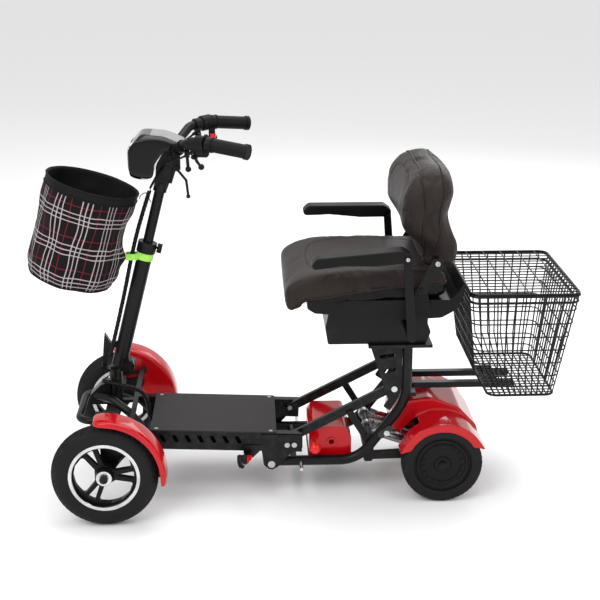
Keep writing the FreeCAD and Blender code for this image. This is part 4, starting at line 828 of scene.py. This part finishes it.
def upholstery(name, outline, half, rounding, material, inset=0.0):
    """Closed cushion form: a side outline swept across the scooter, its two ends rounded in."""
    count = len(outline)
    centre = sum(outline, Vector((0, 0))) / count
    normals = []
    for i in range(count):
        run = outline[(i + 1) % count] - outline[i - 1]
        normals.append(Vector((run.y, -run.x)).normalized())
    if sum((p - centre).dot(n) for p, n in zip(outline, normals)) < 0:
        normals = [-n for n in normals]
    steps, middle_steps = 9, 28
    stations = []
    for k in range(steps):
        turn = math.pi / 2 * (1 - k / (steps - 1))
        stations.append((-half + rounding * (1 - math.sin(turn)), rounding * (1 - math.cos(turn))))
    flat = half - rounding
    for k in range(1, middle_steps):
        stations.append((-flat + 2 * flat * k / middle_steps, 0.0))
    stations += [(-y, pull) for y, pull in reversed(stations[:steps])]
    verts = []
    for y, pull in stations:
        for place, out in zip(outline, normals):
            spot_at = place - out * (pull + inset)
            verts.append(Vector((spot_at.x, y, spot_at.y)))
    obj = mesh_object(name, verts, grid_faces(len(stations), count, False, True), material)
    work = bmesh.new()
    work.from_mesh(obj.data)
    bmesh.ops.holes_fill(work, edges=[e for e in work.edges if e.is_boundary], sides=0)
    bmesh.ops.recalc_face_normals(work, faces=work.faces)
    work.to_mesh(obj.data)
    work.free()
    return obj


def puff(obj, voxel=0.0055, pressure=4.0, cap=0.007, shrink=-0.02, frames=20):
    """Remesh a cushion form evenly, blow it up as cloth, and keep each point within cap of where it was."""
    bpy.context.view_layer.objects.active = obj
    modifier(obj, "REMESH", "even", mode="VOXEL", voxel_size=voxel, use_smooth_shade=True)
    bake_modifiers(obj)
    before = [v.co.copy() for v in obj.data.vertices]
    cloth = modifier(obj, "CLOTH", "cloth")
    settings = dict(quality=5, mass=0.3, use_pressure=True, uniform_pressure_force=pressure,
                    tension_stiffness=12, compression_stiffness=12, bending_stiffness=0.6, shrink_min=shrink)
    for key, value in settings.items():
        setattr(cloth.settings, key, value)
    cloth.settings.effector_weights.gravity = 0
    scene = bpy.context.scene
    cloth.point_cache.frame_start = 1
    cloth.point_cache.frame_end = frames
    for frame_number in range(1, frames + 1):
        scene.frame_set(frame_number)
    bake_modifiers(obj)
    for vertex, old in zip(obj.data.vertices, before):
        step = vertex.co - old
        if step.length > cap:
            vertex.co = old + step.normalized() * cap
    scene.frame_set(1)


def round_outline(corners, steps=7):
    """Side outline in the row frame from (x, z) millimetre points, smoothed as one closed curve."""
    points = [Vector((FRONT_AXLE.x + x / 1000, z / 1000, 0)) for x, z in corners]
    return [Vector((p.x, p.y)) for p in smooth_path(points, steps, True)]


def surface_of(obj):
    """A tree to find places on an object's surface with."""
    work = bmesh.new()
    work.from_mesh(obj.data)
    tree = BVHTree.FromBMesh(work)
    work.free()
    return tree


def drape(tree, path, lift):
    """The path moved onto a surface, lifted off it by a little."""
    hits = [tree.find_nearest(place) for place in path]
    return [hit[0] + hit[1] * lift for hit in hits]


def sew(obj, paths, width, depth):
    """Sink the surface along seams, so that the padding stands up between them."""
    points = [p for path in paths for p in path]
    tree = KDTree(len(points))
    for i, place in enumerate(points):
        tree.insert(place, i)
    tree.balance()
    for vertex in obj.data.vertices:
        distance = tree.find(vertex.co)[2]
        if distance < width * 3.5:
            vertex.co -= vertex.normal * depth * math.exp(-((distance / width) ** 2))


def finish_pad(obj):
    """Smooth a cushion by one level of subdivision."""
    modifier(obj, "SUBSURF", "smooth", levels=1, render_levels=1)
    bake_modifiers(obj)
    obj.data.shade_smooth()


def seam_height(x):
    """Height of the seam between the leather and the black band below it, which drops to the front."""
    return interpolate([(0.43, 0.512), (0.455, 0.514), (0.477, 0.530), (0.56, 0.546), (0.703, 0.564),
                        (0.80, 0.568)], x)


def make_seat_cushion():
    """Crowned seat: a drooping front, a dished middle, and a piped seam round its side."""
    outline = round_outline(
        [(429, 545), (431, 520), (437, 502), (452, 498), (466, 508), (478, 530), (560, 533), (680, 533),
         (798, 534), (811, 546), (812, 572), (800, 586), (700, 591), (600, 592), (520, 588), (474, 578),
         (442, 562)]
    )
    pad = upholstery("seat_pad", outline, 0.187, 0.022, "leather", 0.001)
    puff(pad)
    middle_x, half_long, half_wide, deep = FRONT_AXLE.x + 0.62, 0.19, 0.15, 0.007
    for vertex in pad.data.vertices:
        place = vertex.co
        if place.z > 0.565:
            u, v = (place.x - middle_x) / half_long, place.y / half_wide
            place.z -= deep * max(0.0, 1 - u * u) * max(0.0, 1 - v * v)
    tree = surface_of(pad)
    ring = [Vector((FRONT_AXLE.x + x, y, seam_height(x)))
            for x, y in superellipse(0.62, 0.197, 0.192, 5.5, 150)]
    seam = drape(tree, ring, 0.0)
    above = [Vector((FRONT_AXLE.x + x, y, 0.62)) for x, y in superellipse(0.635, 0.148, 0.135, 4.0, 130)]
    panel = [cast(tree, place, (0, 0, -1)) for place in above]
    sew(pad, [seam], 0.0032, 0.0022)
    sew(pad, [panel], 0.004, 0.0016)
    finish_pad(pad)
    pad.data.materials.append(MATERIALS["vinyl"])
    for face in pad.data.polygons:
        at = face.center
        if at.z < seam_height(at.x - FRONT_AXLE.x) - 0.0015 and at.x > FRONT_AXLE.x + 0.462:
            face.material_index = 1
    tree = surface_of(pad)
    trim(tree, "seat", [seam], panel, "rear_frame")
    belong(pad, "rear_frame", "seat_cushion")


def trim(tree, name, seams, panel, body):
    """Piping along a cushion's seams, and a stitched line round its panel."""
    paths = [drape(tree, seam, 0.0006) for seam in seams]
    wires(f"{name}_piping", paths, 0.0021, "leather", body, closed=True)
    belong(stitches(f"{name}_stitches", drape(tree, panel, 0.0002), body))


def superellipse(centre_x, half_x, half_y, squareness, steps):
    """Points of a squared-off ellipse."""
    share = 2 / squareness
    return [(centre_x + half_x * power(c, share), half_y * power(s, share)) for c, s in circle(steps)]


def cast(tree, place, way):
    """Where a ray from a place meets a surface, or the place itself."""
    return tree.ray_cast(place, Vector(way))[0] or place


def stitches(name, path, body, length=0.0042, gap=0.0024, radius=0.0006):
    """A row of short thread stitches along a closed seam."""
    found, travelled, run = [], 0.0, []
    for a, b in zip(path, path[1:] + path[:1]):
        steps = max(1, int((b - a).length / 0.0008))
        for k in range(steps):
            place = a.lerp(b, k / steps)
            if travelled % (length + gap) < length:
                run.append(place)
            elif len(run) > 1:
                found.append([run[0], run[len(run) // 2], run[-1]])
                run = []
            travelled += (b - a).length / steps
    return wires(name, found, radius, "thread", body, 1)


def make_seat_back():
    """Backrest: a curved padded shell, its front face piped, narrowing to the seat."""
    front = [(766, 602), (762, 640), (742, 668), (724, 686), (713, 716), (713, 754), (724, 790),
             (744, 820), (772, 838)]
    rear = [(828, 602), (834, 640), (823, 680), (817, 715), (822, 752), (827, 780), (822, 808),
            (808, 829), (790, 840)]
    outline = round_outline(rear + front[::-1], 6)
    pad = upholstery("back_pad", outline, 0.183, 0.030, "leather", 0.0015)
    for vertex in pad.data.vertices:
        place = vertex.co
        share = max(0.0, min(1.0, (0.70 - place.z) / 0.09))
        share = share * share * (3 - 2 * share)
        place.y *= 1 - 0.10 * share
        top = max(0.0, min(0.97, (place.z - 0.735) / 0.112))
        place.y *= (1 - top ** 3) ** 0.34
        side = place.y / 0.186
        place.x += 0.014 * side * side * -1 * max(0.0, min(1.0, (place.z - 0.66) / 0.06))
        if abs(side) > 0.1:
            place.x = max(place.x, FRONT_AXLE.x + 0.709)
    puff(pad)
    tree = surface_of(pad)
    rings = [back_ring(tree, 0.757, 0.0), back_ring(tree, 0.803, 0.014)]
    sew(pad, rings, 0.0032, 0.0024)
    panel = back_panel(tree)
    sew(pad, [panel], 0.0042, 0.0026)
    finish_pad(pad)
    trim(surface_of(pad), "back", rings, panel, "seat_back")
    belong(pad, "seat_back", "seat_back")
    hinge_plates()


def back_ring(tree, x, lean):
    """Seam round the edge of the backrest, in a plane across it that leans a little."""
    found = []
    for c, s in circle(140):
        z = 0.73 + 0.115 * power(s, 0.6)
        curve = -0.02 * ((z - 0.735) / 0.12) ** 2
        found.append(Vector((FRONT_AXLE.x + x + curve + lean * s, 0.187 * power(c, 0.5), z)))
    return drape(tree, found, 0.0)


def back_panel(tree):
    """Seam of the front panel, cast onto the face of the backrest from ahead."""
    ahead = [Vector((FRONT_AXLE.x + 0.55, 0.118 * power(c, 0.55), 0.752 + 0.054 * power(s, 0.55)))
             for c, s in circle(130)]
    return [cast(tree, place, (1, 0, 0)) for place in ahead]


def hinge_plates():
    """Side plates that carry the backrest, each with a bolt and a spacer."""
    for side in (LEFT, RIGHT):
        corners = [(736, 560), (742, 549), (757, 549), (795, 606), (798, 622), (794, 633), (776, 634)]
        verts = [spot(x, side * y, z) for y in (196.0, 199.6) for x, z in corners]
        plate = swept(f"back_plate_{NAMES[side]}", verts, len(corners), "frame", smooth=False)
        modifier(plate, "BEVEL", "edge", width=0.0009, segments=2, limit_method="ANGLE")
        belong(bake_modifiers(plate), "seat_back")
        bolt_head(f"back_bolt_{NAMES[side]}", spot(784, side * 199.6, 622), Vector((0, side, 0)),
                  0.0065, "seat_back")
        lathe(f"back_spacer_{NAMES[side]}", [(0.0001, 0.0), (0.009, 0.0), (0.009, 0.040), (0.0001, 0.040)],
              spot(784, side * 156, 622), side, "black", "seat_back", 32)


def bolt_head(name, place, way, radius, body, height=0.004):
    """Domed socket screw with a hexagonal recess."""
    turn = way.to_track_quat("Z", "Y").to_matrix()
    profile = [(1.0, 0.0), (1.0, 0.45), (0.93, 0.72), (0.78, 0.9), (0.52, 1.0)]
    steps, flat_turn = 24, math.radians(60)
    verts = [Vector((radius * r * c, radius * r * s, height * h))
             for r, h in profile for c, s in circle(steps)]
    for depth in (1.0, 0.4):
        for k, (c, s) in enumerate(circle(steps)):
            past_corner = 2 * math.pi * k / steps % flat_turn - flat_turn / 2
            reach = radius * 0.48 * math.cos(flat_turn / 2) / math.cos(past_corner)
            verts.append(Vector((reach * c, reach * s, height * depth)))
    obj = swept(name, [place + turn @ v for v in verts], steps, "steel", smooth=False)
    return belong(obj, body)


# ---------------------------------------------------------------- basket


BASKET_LOW, BASKET_TOP, BASKET_HALF = 270.0, 538.0, 196.0      # floor, rim, and half the rim's width
BARS = [-168 + 24 * k for k in range(15)]                      # places across of the fore-and-aft wires


def basket_side(z):
    """Half width of the basket at a height, in millimetres."""
    share = (z - BASKET_LOW) / (BASKET_TOP - BASKET_LOW)
    return 150 + (BASKET_HALF - 150) * share


def basket_front(z):
    """Front wall: nearly upright above the bend at 330, chamfered below."""
    if z >= 330:
        return 864 + (BASKET_TOP - z) / (BASKET_TOP - 330) * 26
    return 890 + (330 - z) / (330 - BASKET_LOW) * 34


def basket_rear(z):
    """Rear wall, which leans back."""
    return 1090 + (z - BASKET_LOW) / (BASKET_TOP - BASKET_LOW) * 41


def rounded_loop(front, rear, half, z, corner, steps):
    """Level rectangle with round corners, which ends where it starts."""
    loop = []
    for x, y, start in ((rear - corner, half - corner, 0), (front + corner, half - corner, 90),
                        (front + corner, corner - half, 180), (rear - corner, corner - half, 270)):
        for k in range(steps + 1):
            angle = math.radians(start + 90 * k / steps)
            loop.append(spot(x + corner * math.cos(angle), y + corner * math.sin(angle), z))
    return loop + loop[:1]


def basket_ring(z, inset):
    """Loop of wire round the basket at a height."""
    return rounded_loop(basket_front(z) + inset, basket_rear(z) - inset, basket_side(z) - inset, z, 22, 5)


def make_basket():
    """Wire basket: uprights that run on across the floor, rounds, a double rim and a floor ring."""
    thin = [basket_ring(z, 2.0) for z in (500, 465, 430, 395, 360, 325, 297)]
    for bar in BARS:
        front = [(basket_front(z) + 2, z) for z in (537, 430, 330, 300, 272)]
        rear = [(basket_rear(z) - 2, z) for z in (272, 400, 537)]
        thin.append([spot(x, bar * basket_side(z) / BASKET_HALF, z) for x, z in front + rear])
    for k in range(11):
        half = []
        for z in (537, 430, 330, 272):
            x = basket_front(z) + 20 + (basket_rear(z) - basket_front(z) - 40) * k / 10
            half.append((x, basket_side(z) - 2, z))
        thin.append([spot(x, -y, z) for x, y, z in half] + [spot(*place) for place in reversed(half)])
    wires("basket_wires", thin, 0.0018, "wire", "rear_frame", node="rear_basket")
    thick = [basket_ring(z, 2.6) for z in (537.0, 521.0, 272.0)]
    wires("basket_rim", thick, 0.0031, "wire", "rear_frame", 3)


def make_basket_lid():
    """Hinged wire lid: a rounded frame and its cross wires."""
    front, rear, half, z = 869.0, 1128.0, 192.0, 541.6
    loop = rounded_loop(front, rear, half, z, 24, 6)
    wires("lid_frame", [loop], 0.0027, "wire", "basket_lid", 3, node="basket_lid")
    inner = [[spot(front + 1, bar, z), spot(rear - 1, bar, z)] for bar in BARS]
    inner += [[spot(x, 1 - half, z + 1.6), spot(x, half - 1, z + 1.6)] for x in (915, 960, 1005, 1050, 1095)]
    wires("lid_wires", inner, 0.0016, "wire", "basket_lid")


# ---------------------------------------------------------------- wheels


def tread_height(turn, out, blocks, half):
    """Depth of the tread's grooves, 0 on a block and 1 in a groove: three lanes to each side."""
    first_edge, second_edge, fade = 0.36, 0.74, 0.12
    place = abs(out) / half
    if place > 1 + fade:
        return 0.0
    lane = 0 if place < first_edge else (1 if place < second_edge else 2)
    shift = 0.5 if lane == 1 else (0.22 if lane == 2 and out > 0 else 0.0)
    slant = 0.30 * out / half if lane else 0.12
    step = (turn * blocks / (2 * math.pi) + shift + slant) % 1.0
    round_groove = abs(place - first_edge) < 0.05 or abs(place - second_edge) < 0.05
    cross_groove = min(step, 1 - step) < (0.09 if lane < 2 else 0.14)
    if not (round_groove or cross_groove):
        return 0.0
    return 1 - max(0.0, place - 1) / fade


def make_tyre(place, side, section, tread_half, blocks, depth):
    """Tyre with a moulded tread: a section of (radius, offset, tread) points turned about the axle."""
    name = f"tread_{place}_{NAMES[side]}"
    node = f"{place}_tyre_{NAMES[side]}"
    centre = middle(node)
    steps = blocks * 8
    verts = []
    for i in range(steps):
        turn = 2 * math.pi * i / steps
        for radius, out, tread in section:
            if tread:
                radius -= depth * tread_height(turn, out, blocks, tread_half) * tread
            verts.append(on_wheel(centre, radius, turn, out))
    material = tyre_rubber(f"rubber_{name}", centre, max(point[0] for point in section))
    obj = swept(name, verts, len(section), material, True)
    belong(obj, f"{place}_wheel_{NAMES[side]}", node)


def front_section():
    """Round road tyre, with a moulded line low on each wall and a flat seat on the rim."""
    steps, tread_end, line_at, seat = 60, 0.95, 1.75, 0.0846
    found = []
    for k in range(steps + 1):
        angle = math.radians(-142 + 284 * k / steps)
        line = 0.0007 if abs(abs(angle) - line_at) < 0.06 else 0.0
        tread = min(1.0, max(0.0, 1 - (abs(angle) - tread_end) / 0.2))
        found.append((0.1003 + 0.0268 * math.cos(angle) + line, 0.0265 * math.sin(angle), tread))
    return found + [(seat, 0.012, 0.0), (seat, -0.012, 0.0)]


def rear_section():
    """Squarer solid tyre with a flat running face: one wall, the face, and the wall mirrored."""
    shape = [(0.0704, -0.0190), (0.0715, -0.0232), (0.0745, -0.0248), (0.0850, -0.0249), (0.0915, -0.0243),
             (0.0955, -0.0222), (0.0980, -0.0188), (0.0994, -0.0140)]
    tread_start, face_radius, face_half = 0.0935, 0.0994, 0.0140
    wall, face = [], []
    for (r0, o0), (r1, o1) in zip(shape, shape[1:]):
        for k in range(4):
            radius = r0 + (r1 - r0) * k / 4
            wall.append((radius, o0 + (o1 - o0) * k / 4, 1.0 if radius > tread_start else 0.0))
    for k in range(21):
        out = face_half * (k / 10 - 1)
        face.append((face_radius + 0.0005 * (1 - (out / face_half) ** 2), out, 1.0))
    return wall + face + [(radius, -out, tread) for radius, out, tread in reversed(wall)]


def make_wheels():
    """Tyres, mudguards, hub covers and rim details of both sides."""
    for side in (LEFT, RIGHT):
        make_tyre("front", side, front_section(), 0.0225, 54, 0.0017)
        make_tyre("rear", side, rear_section(), 0.0235, 46, 0.0015)
        make_front_fender(side)
        make_hub_cover(side)
        make_rim_details(side)


def make_hub_cover(side):
    """Motor cover: a ring of shallow segments and a centre cap."""
    name = NAMES[side]
    centre = middle(f"rear_hub_{name}")
    body = f"rear_wheel_{name}"
    low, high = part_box(f"rear_hub_{name}")
    face = abs((high.y if side == RIGHT else -low.y) - abs(centre.y))
    segments, inner, outer = 18, 0.0452, 0.0530
    verts, faces = [], []
    for k in range(segments):
        base = len(verts)
        for radius, out in ((inner, -0.0034), (inner, -0.0006), (outer, -0.0006), (outer, -0.0034)):
            for i in range(5):
                angle = 2 * math.pi * (k + 0.09 + 0.82 * i / 4) / segments
                verts.append(on_wheel(centre, radius, angle, side * (face + out)))
        for row in range(4):
            for i in range(4):
                a, b = base + row * 5 + i, base + row * 5 + i + 1
                c, d = base + ((row + 1) % 4) * 5 + i + 1, base + ((row + 1) % 4) * 5 + i
                faces.append((a, b, c, d))
        faces.append(tuple(base + 5 * row for row in range(4)))
        faces.append(tuple(base + 5 * row + 4 for row in reversed(range(4))))
    ring = mesh_object(f"hub_segments_{name}", verts, faces, "black", smooth=False)
    tidy_normals(ring)
    belong(ring, body)
    profile = [(0.0001, face + 0.0002), (0.0075, face), (0.0100, face - 0.0012), (0.0175, face - 0.0014),
               (0.0190, face - 0.0024), (0.0190, face - 0.004), (0.0001, face - 0.004)]
    lathe(f"hub_cap_{name}", profile, centre, side, "black", body)


def make_rim_details(side):
    """Axle nut and valve stem of a cast front wheel."""
    name = NAMES[side]
    body = f"front_wheel_{name}"
    low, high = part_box(f"front_rim_{name}")
    centre = (low + high) / 2
    face = centre + Vector((0, side * ((high.y - low.y) / 2 - 0.0015), 0))
    bolt_head(f"axle_nut_{name}", face, Vector((0, side, 0)), 0.0085, body, 0.005)
    start = centre + Vector((0.052, side * 0.006, 0.052))
    way = Vector((-1, 0, -1)).normalized()
    path = [start, start + way * 0.012, start + way * 0.024]
    wires(f"valve_{name}", [path], 0.0028, "cable", body, 3)


def make_front_fender(side):
    """Moulded mudguard: a crowned guard with a deep skirt on its inner side, its ends rounded."""
    centre = middle(f"front_tyre_{NAMES[side]}")
    steps, half, wall, shoulder, deep, ending = 84, 0.0355, 0.0024, 0.1365, 0.078, 0.13
    verts = []
    for i in range(steps + 1):
        share = i / steps
        short = max(0.0, ending - min(share, 1 - share)) / ending
        full = math.sqrt(1 - short * short)
        turn = math.radians(98 - 108 * share)
        skirt = shoulder - deep * full
        wide = half * (0.66 + 0.34 * full)
        outline = [(skirt + (shoulder - skirt) * k / 9, -wide) for k in range(9)]
        for k in range(25):
            angle = math.pi * (1 - k / 24)
            crown = 0.0114 * math.sin(angle) ** 0.7 * (0.8 + 0.2 * full)
            outline.append((shoulder + crown, wide * power(math.cos(angle), 0.6)))
        outline += [(shoulder - 0.0035 * full * k / 3, wide) for k in (1, 2, 3)]
        inside = []
        for k, (radius, out) in enumerate(outline):
            after, before = outline[min(k + 1, len(outline) - 1)], outline[max(k - 1, 0)]
            run = Vector((after[0] - before[0], after[1] - before[1]))
            inward = Vector((-run.y, run.x)).normalized() * wall if run.length else Vector((-wall, 0))
            inside.append((radius + inward.x, out + inward.y))
        verts += [on_wheel(centre, radius, turn, side * out) for radius, out in outline + inside[::-1]]
    obj = swept(f"fender_shell_{NAMES[side]}", verts, len(verts) // (steps + 1), "red")
    belong(obj, f"knuckle_{NAMES[side]}", f"front_fender_{NAMES[side]}")


# ---------------------------------------------------------------- cords


def nurbs(name, route, radius, material):
    """A cord as one smooth curve, steered by its route's points."""
    curve = round_curve(name, radius, 4)
    curve.resolution_u = 16
    spline = spline_through(curve, "NURBS", route)
    spline.order_u = 3
    spline.use_endpoint_u = True
    obj = into_scene(name, curve)
    use(obj, material)
    return obj


def centreline(obj):
    """Points of a cord's own line, read from its spline."""
    plain = obj.copy()
    plain.data = obj.data.copy()
    plain.data.bevel_depth = 0
    bpy.context.scene.collection.objects.link(plain)
    points = [v.co.copy() for v in evaluated_mesh(plain).vertices]
    bpy.data.objects.remove(plain)
    return points


def pipe(name, points, radius, steps=16):
    """Round cord as a mesh along points, closed at both ends."""
    verts = []
    normal = Vector((0, 1, 0))
    for i, place in enumerate(points):
        run = (points[min(i + 1, len(points) - 1)] - points[max(i - 1, 0)]).normalized()
        normal = (normal - run * normal.dot(run)).normalized()
        other = run.cross(normal)
        verts += [place + (normal * c + other * s) * radius for c, s in circle(steps)]
    return swept(name, verts, steps, "cable")


def spiral_wrap(name, points, radius=0.0047, pitch=0.0115, width=0.0085, thick=0.0011, step=0.0011):
    """Plastic spiral wound round a bundle of cables."""
    verts, along = [], 0.0
    normal = Vector((0, 1, 0))
    for a, b in zip(points, points[1:]):
        run = (b - a).normalized()
        normal = (normal - run * normal.dot(run)).normalized()
        other = run.cross(normal)
        count = max(1, round((b - a).length / step))
        for k in range(count):
            place = a.lerp(b, k / count)
            turn = 2 * math.pi * along / pitch
            out = normal * math.cos(turn) + other * math.sin(turn)
            for shift, reach in ((-0.5, 0.0), (-0.38, 0.55), (0.38, 0.55), (0.5, 0.0)):
                verts.append(place + run * shift * width + out * (radius + thick * reach))
            along += (b - a).length / count
    return swept(name, verts, 4, "cable")


def make_cords():
    """Brake cables by the handlebar, and the wrapped looms down the stem and into the deck."""
    places = [(446, 24, -2), (390, 28, -2.5), (332, 31, -3), (266, 30.5, -4),
              (200, 28, -4), (130, 27, -10), (66, 26.5, -17), (20, 27, -21)]
    guide = nurbs("stem_guide", [stem_spot(*place) for place in places], 0.0, "cable")
    line = centreline(guide)
    bpy.data.objects.remove(guide)
    loom = pipe("stem_cable", line, 0.0048)
    wrap = spiral_wrap("stem_cable_wrap", line)
    for obj in (loom, wrap):
        belong(obj)
        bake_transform(obj)
    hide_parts("stem_loom")
    places = [(-22, -20, 276), (10, -27, 269), (50, -31, 262), (81, -29, 246),
              (91, -26, 208), (90.5, -23, 170), (122, -20, 160)]
    route = [spot(*place) for place in places]
    deck = nurbs("deck_cable_bundle", route, 0.0048, "cable")
    line = centreline(deck)
    wrap = spiral_wrap("deck_cable_wrap", line)
    belong(deck, "deck", "deck_cable")
    belong(wrap, "deck")
    first = None
    for side in (LEFT, RIGHT):
        start, along, down = control_frame(side)
        away = Vector((-36, side * -22, -25)).normalized()
        places = [(188, 107, 853), (158, 76, 842), (152, 42, 826), (137, 21, 806),
                  (121, 18, 780), (112, 9, 764)]
        route = [start - along * 0.001 + down * 0.016 + away * 0.0163]
        route += [spot(x, side * y, z) for x, y, z in places]
        cable = nurbs(f"brake_cable_{NAMES[side]}", route, 0.0025, "cable")
        line = centreline(cable)
        belong(cable, "head")
        first = first or cable
    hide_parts("control_cables")


def control_frame(side):
    """Origin of the controls on the bar, and the directions along it and down from it."""
    bend, end = spot(205, side * 118, 892), spot(255, side * 150, 897)
    along = (end - bend).normalized()
    down = along.cross(Vector((0, side, 0)))
    down = down if down.z < 0 else -down
    return bend + along * 0.022, along, down.normalized()


def soften(name, node, material, voxel, rounds):
    """A moulded or padded piece from its node's own shape, remeshed evenly, its edges rounded off."""
    source = NODES[node]
    verts = [source.matrix_world @ v.co for v in source.data.vertices]
    faces = [tuple(face.vertices) for face in source.data.polygons]
    obj = mesh_object(name, verts, faces, material)
    tidy_normals(obj)
    modifier(obj, "REMESH", "even", mode="VOXEL", voxel_size=voxel, use_smooth_shade=True)
    modifier(obj, "SMOOTH", "soft", factor=0.5, iterations=rounds)
    bake_modifiers(obj)
    obj.data.shade_smooth()
    return belong(obj, None, node)


def make_armrests():
    """Padded armrests in grained vinyl, with a screw in each hinge."""
    for side in (LEFT, RIGHT):
        name = NAMES[side]
        body = f"armrest_{name}"
        low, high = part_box(body)
        pad = soften(f"armrest_pad_{name}", body, "vinyl", 0.0022, 12)
        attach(pad, body)
        outer = high.y if side == RIGHT else low.y
        bolt_head(f"armrest_screw_{name}", Vector((spot(709, 0, 0).x, outer - side * 0.001, 0.645)),
                  Vector((0, side, 0)), 0.005, body, 0.003)


# ---------------------------------------------------------------- head


def make_pod():
    """Glossy housing of the headlight: softened edges, a lens in front, and a grey display panel on top,
    whose mid grey is partly a painted sheen.
    """
    pod = soften("pod_shell", "head_pod", "gloss_black", 0.0028, 14)
    for material in ("top_panel_sheen", "lens"):
        pod.data.materials.append(MATERIALS[material])
    for face in pod.data.polygons:
        x, z = (face.center.x - FRONT_AXLE.x) * 1000, face.center.z * 1000
        wide = abs(face.center.y) * 1000
        # upward faces at the rear of the top: the display panel, painted grey partly as the sheen that light
        # makes on the pod's top
        if face.normal.z > 0.55 and x > 118 and wide < 44:
            face.material_index = 1
        elif face.normal.x < -0.6 and 812 < z < 878 and wide < 46:
            face.material_index = 2
    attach(pod, "head")
    tree = surface_of(pod)
    ahead = [spot(20, 48 * power(c, 0.6), 845 + 36 * power(s, 0.6)) for c, s in circle(96)]
    rim = [cast(tree, place, (1, 0, 0)) for place in ahead]
    wires("lamp_bezel", [rim], 0.0022, "steel", "head", 3, closed=True)


def make_head_details():
    """The grips' ribs and end rings, and the thin cable that loops from the bag to the stem."""
    for side in (LEFT, RIGHT):
        start, end = spot(255, side * 150, 897), spot(345, side * 190, 886)
        along = (end - start).normalized()
        name = NAMES[side]
        for k in range(16):
            ring_on(f"grip_rib_{name}_{k}", start + along * (0.020 + 0.0046 * k), along, 0.0157, 0.0007)
        ring_on(f"grip_end_{name}", start + along * 0.1035, along, 0.0168, 0.0011)
    loop = smooth_path([spot(86, -22, 742), spot(92, -24, 752), spot(103, -22, 756), spot(108, -19, 744),
                        stem_spot(424, 14, -16)], 8)
    wires("bag_wire", [loop], 0.0011, "cable", "stem", 3)


def make_pieces():
    """Everything that stands for a CAD node or adds to one."""
    make_cords()
    make_bag()
    make_strap()
    make_seat_cushion()
    make_seat_back()
    make_basket()
    make_basket_lid()
    make_wheels()
    make_pod()
    make_armrests()
    hood = soften("rear_cowl", "rear_hood", "red", 0.0019, 12)
    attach(hood, "swing_arm")
    make_head_details()


make_camera()
dress_nodes()
make_pieces()
make_stage()
make_lights()
bpy.context.scene.view_settings.view_transform = "Standard"
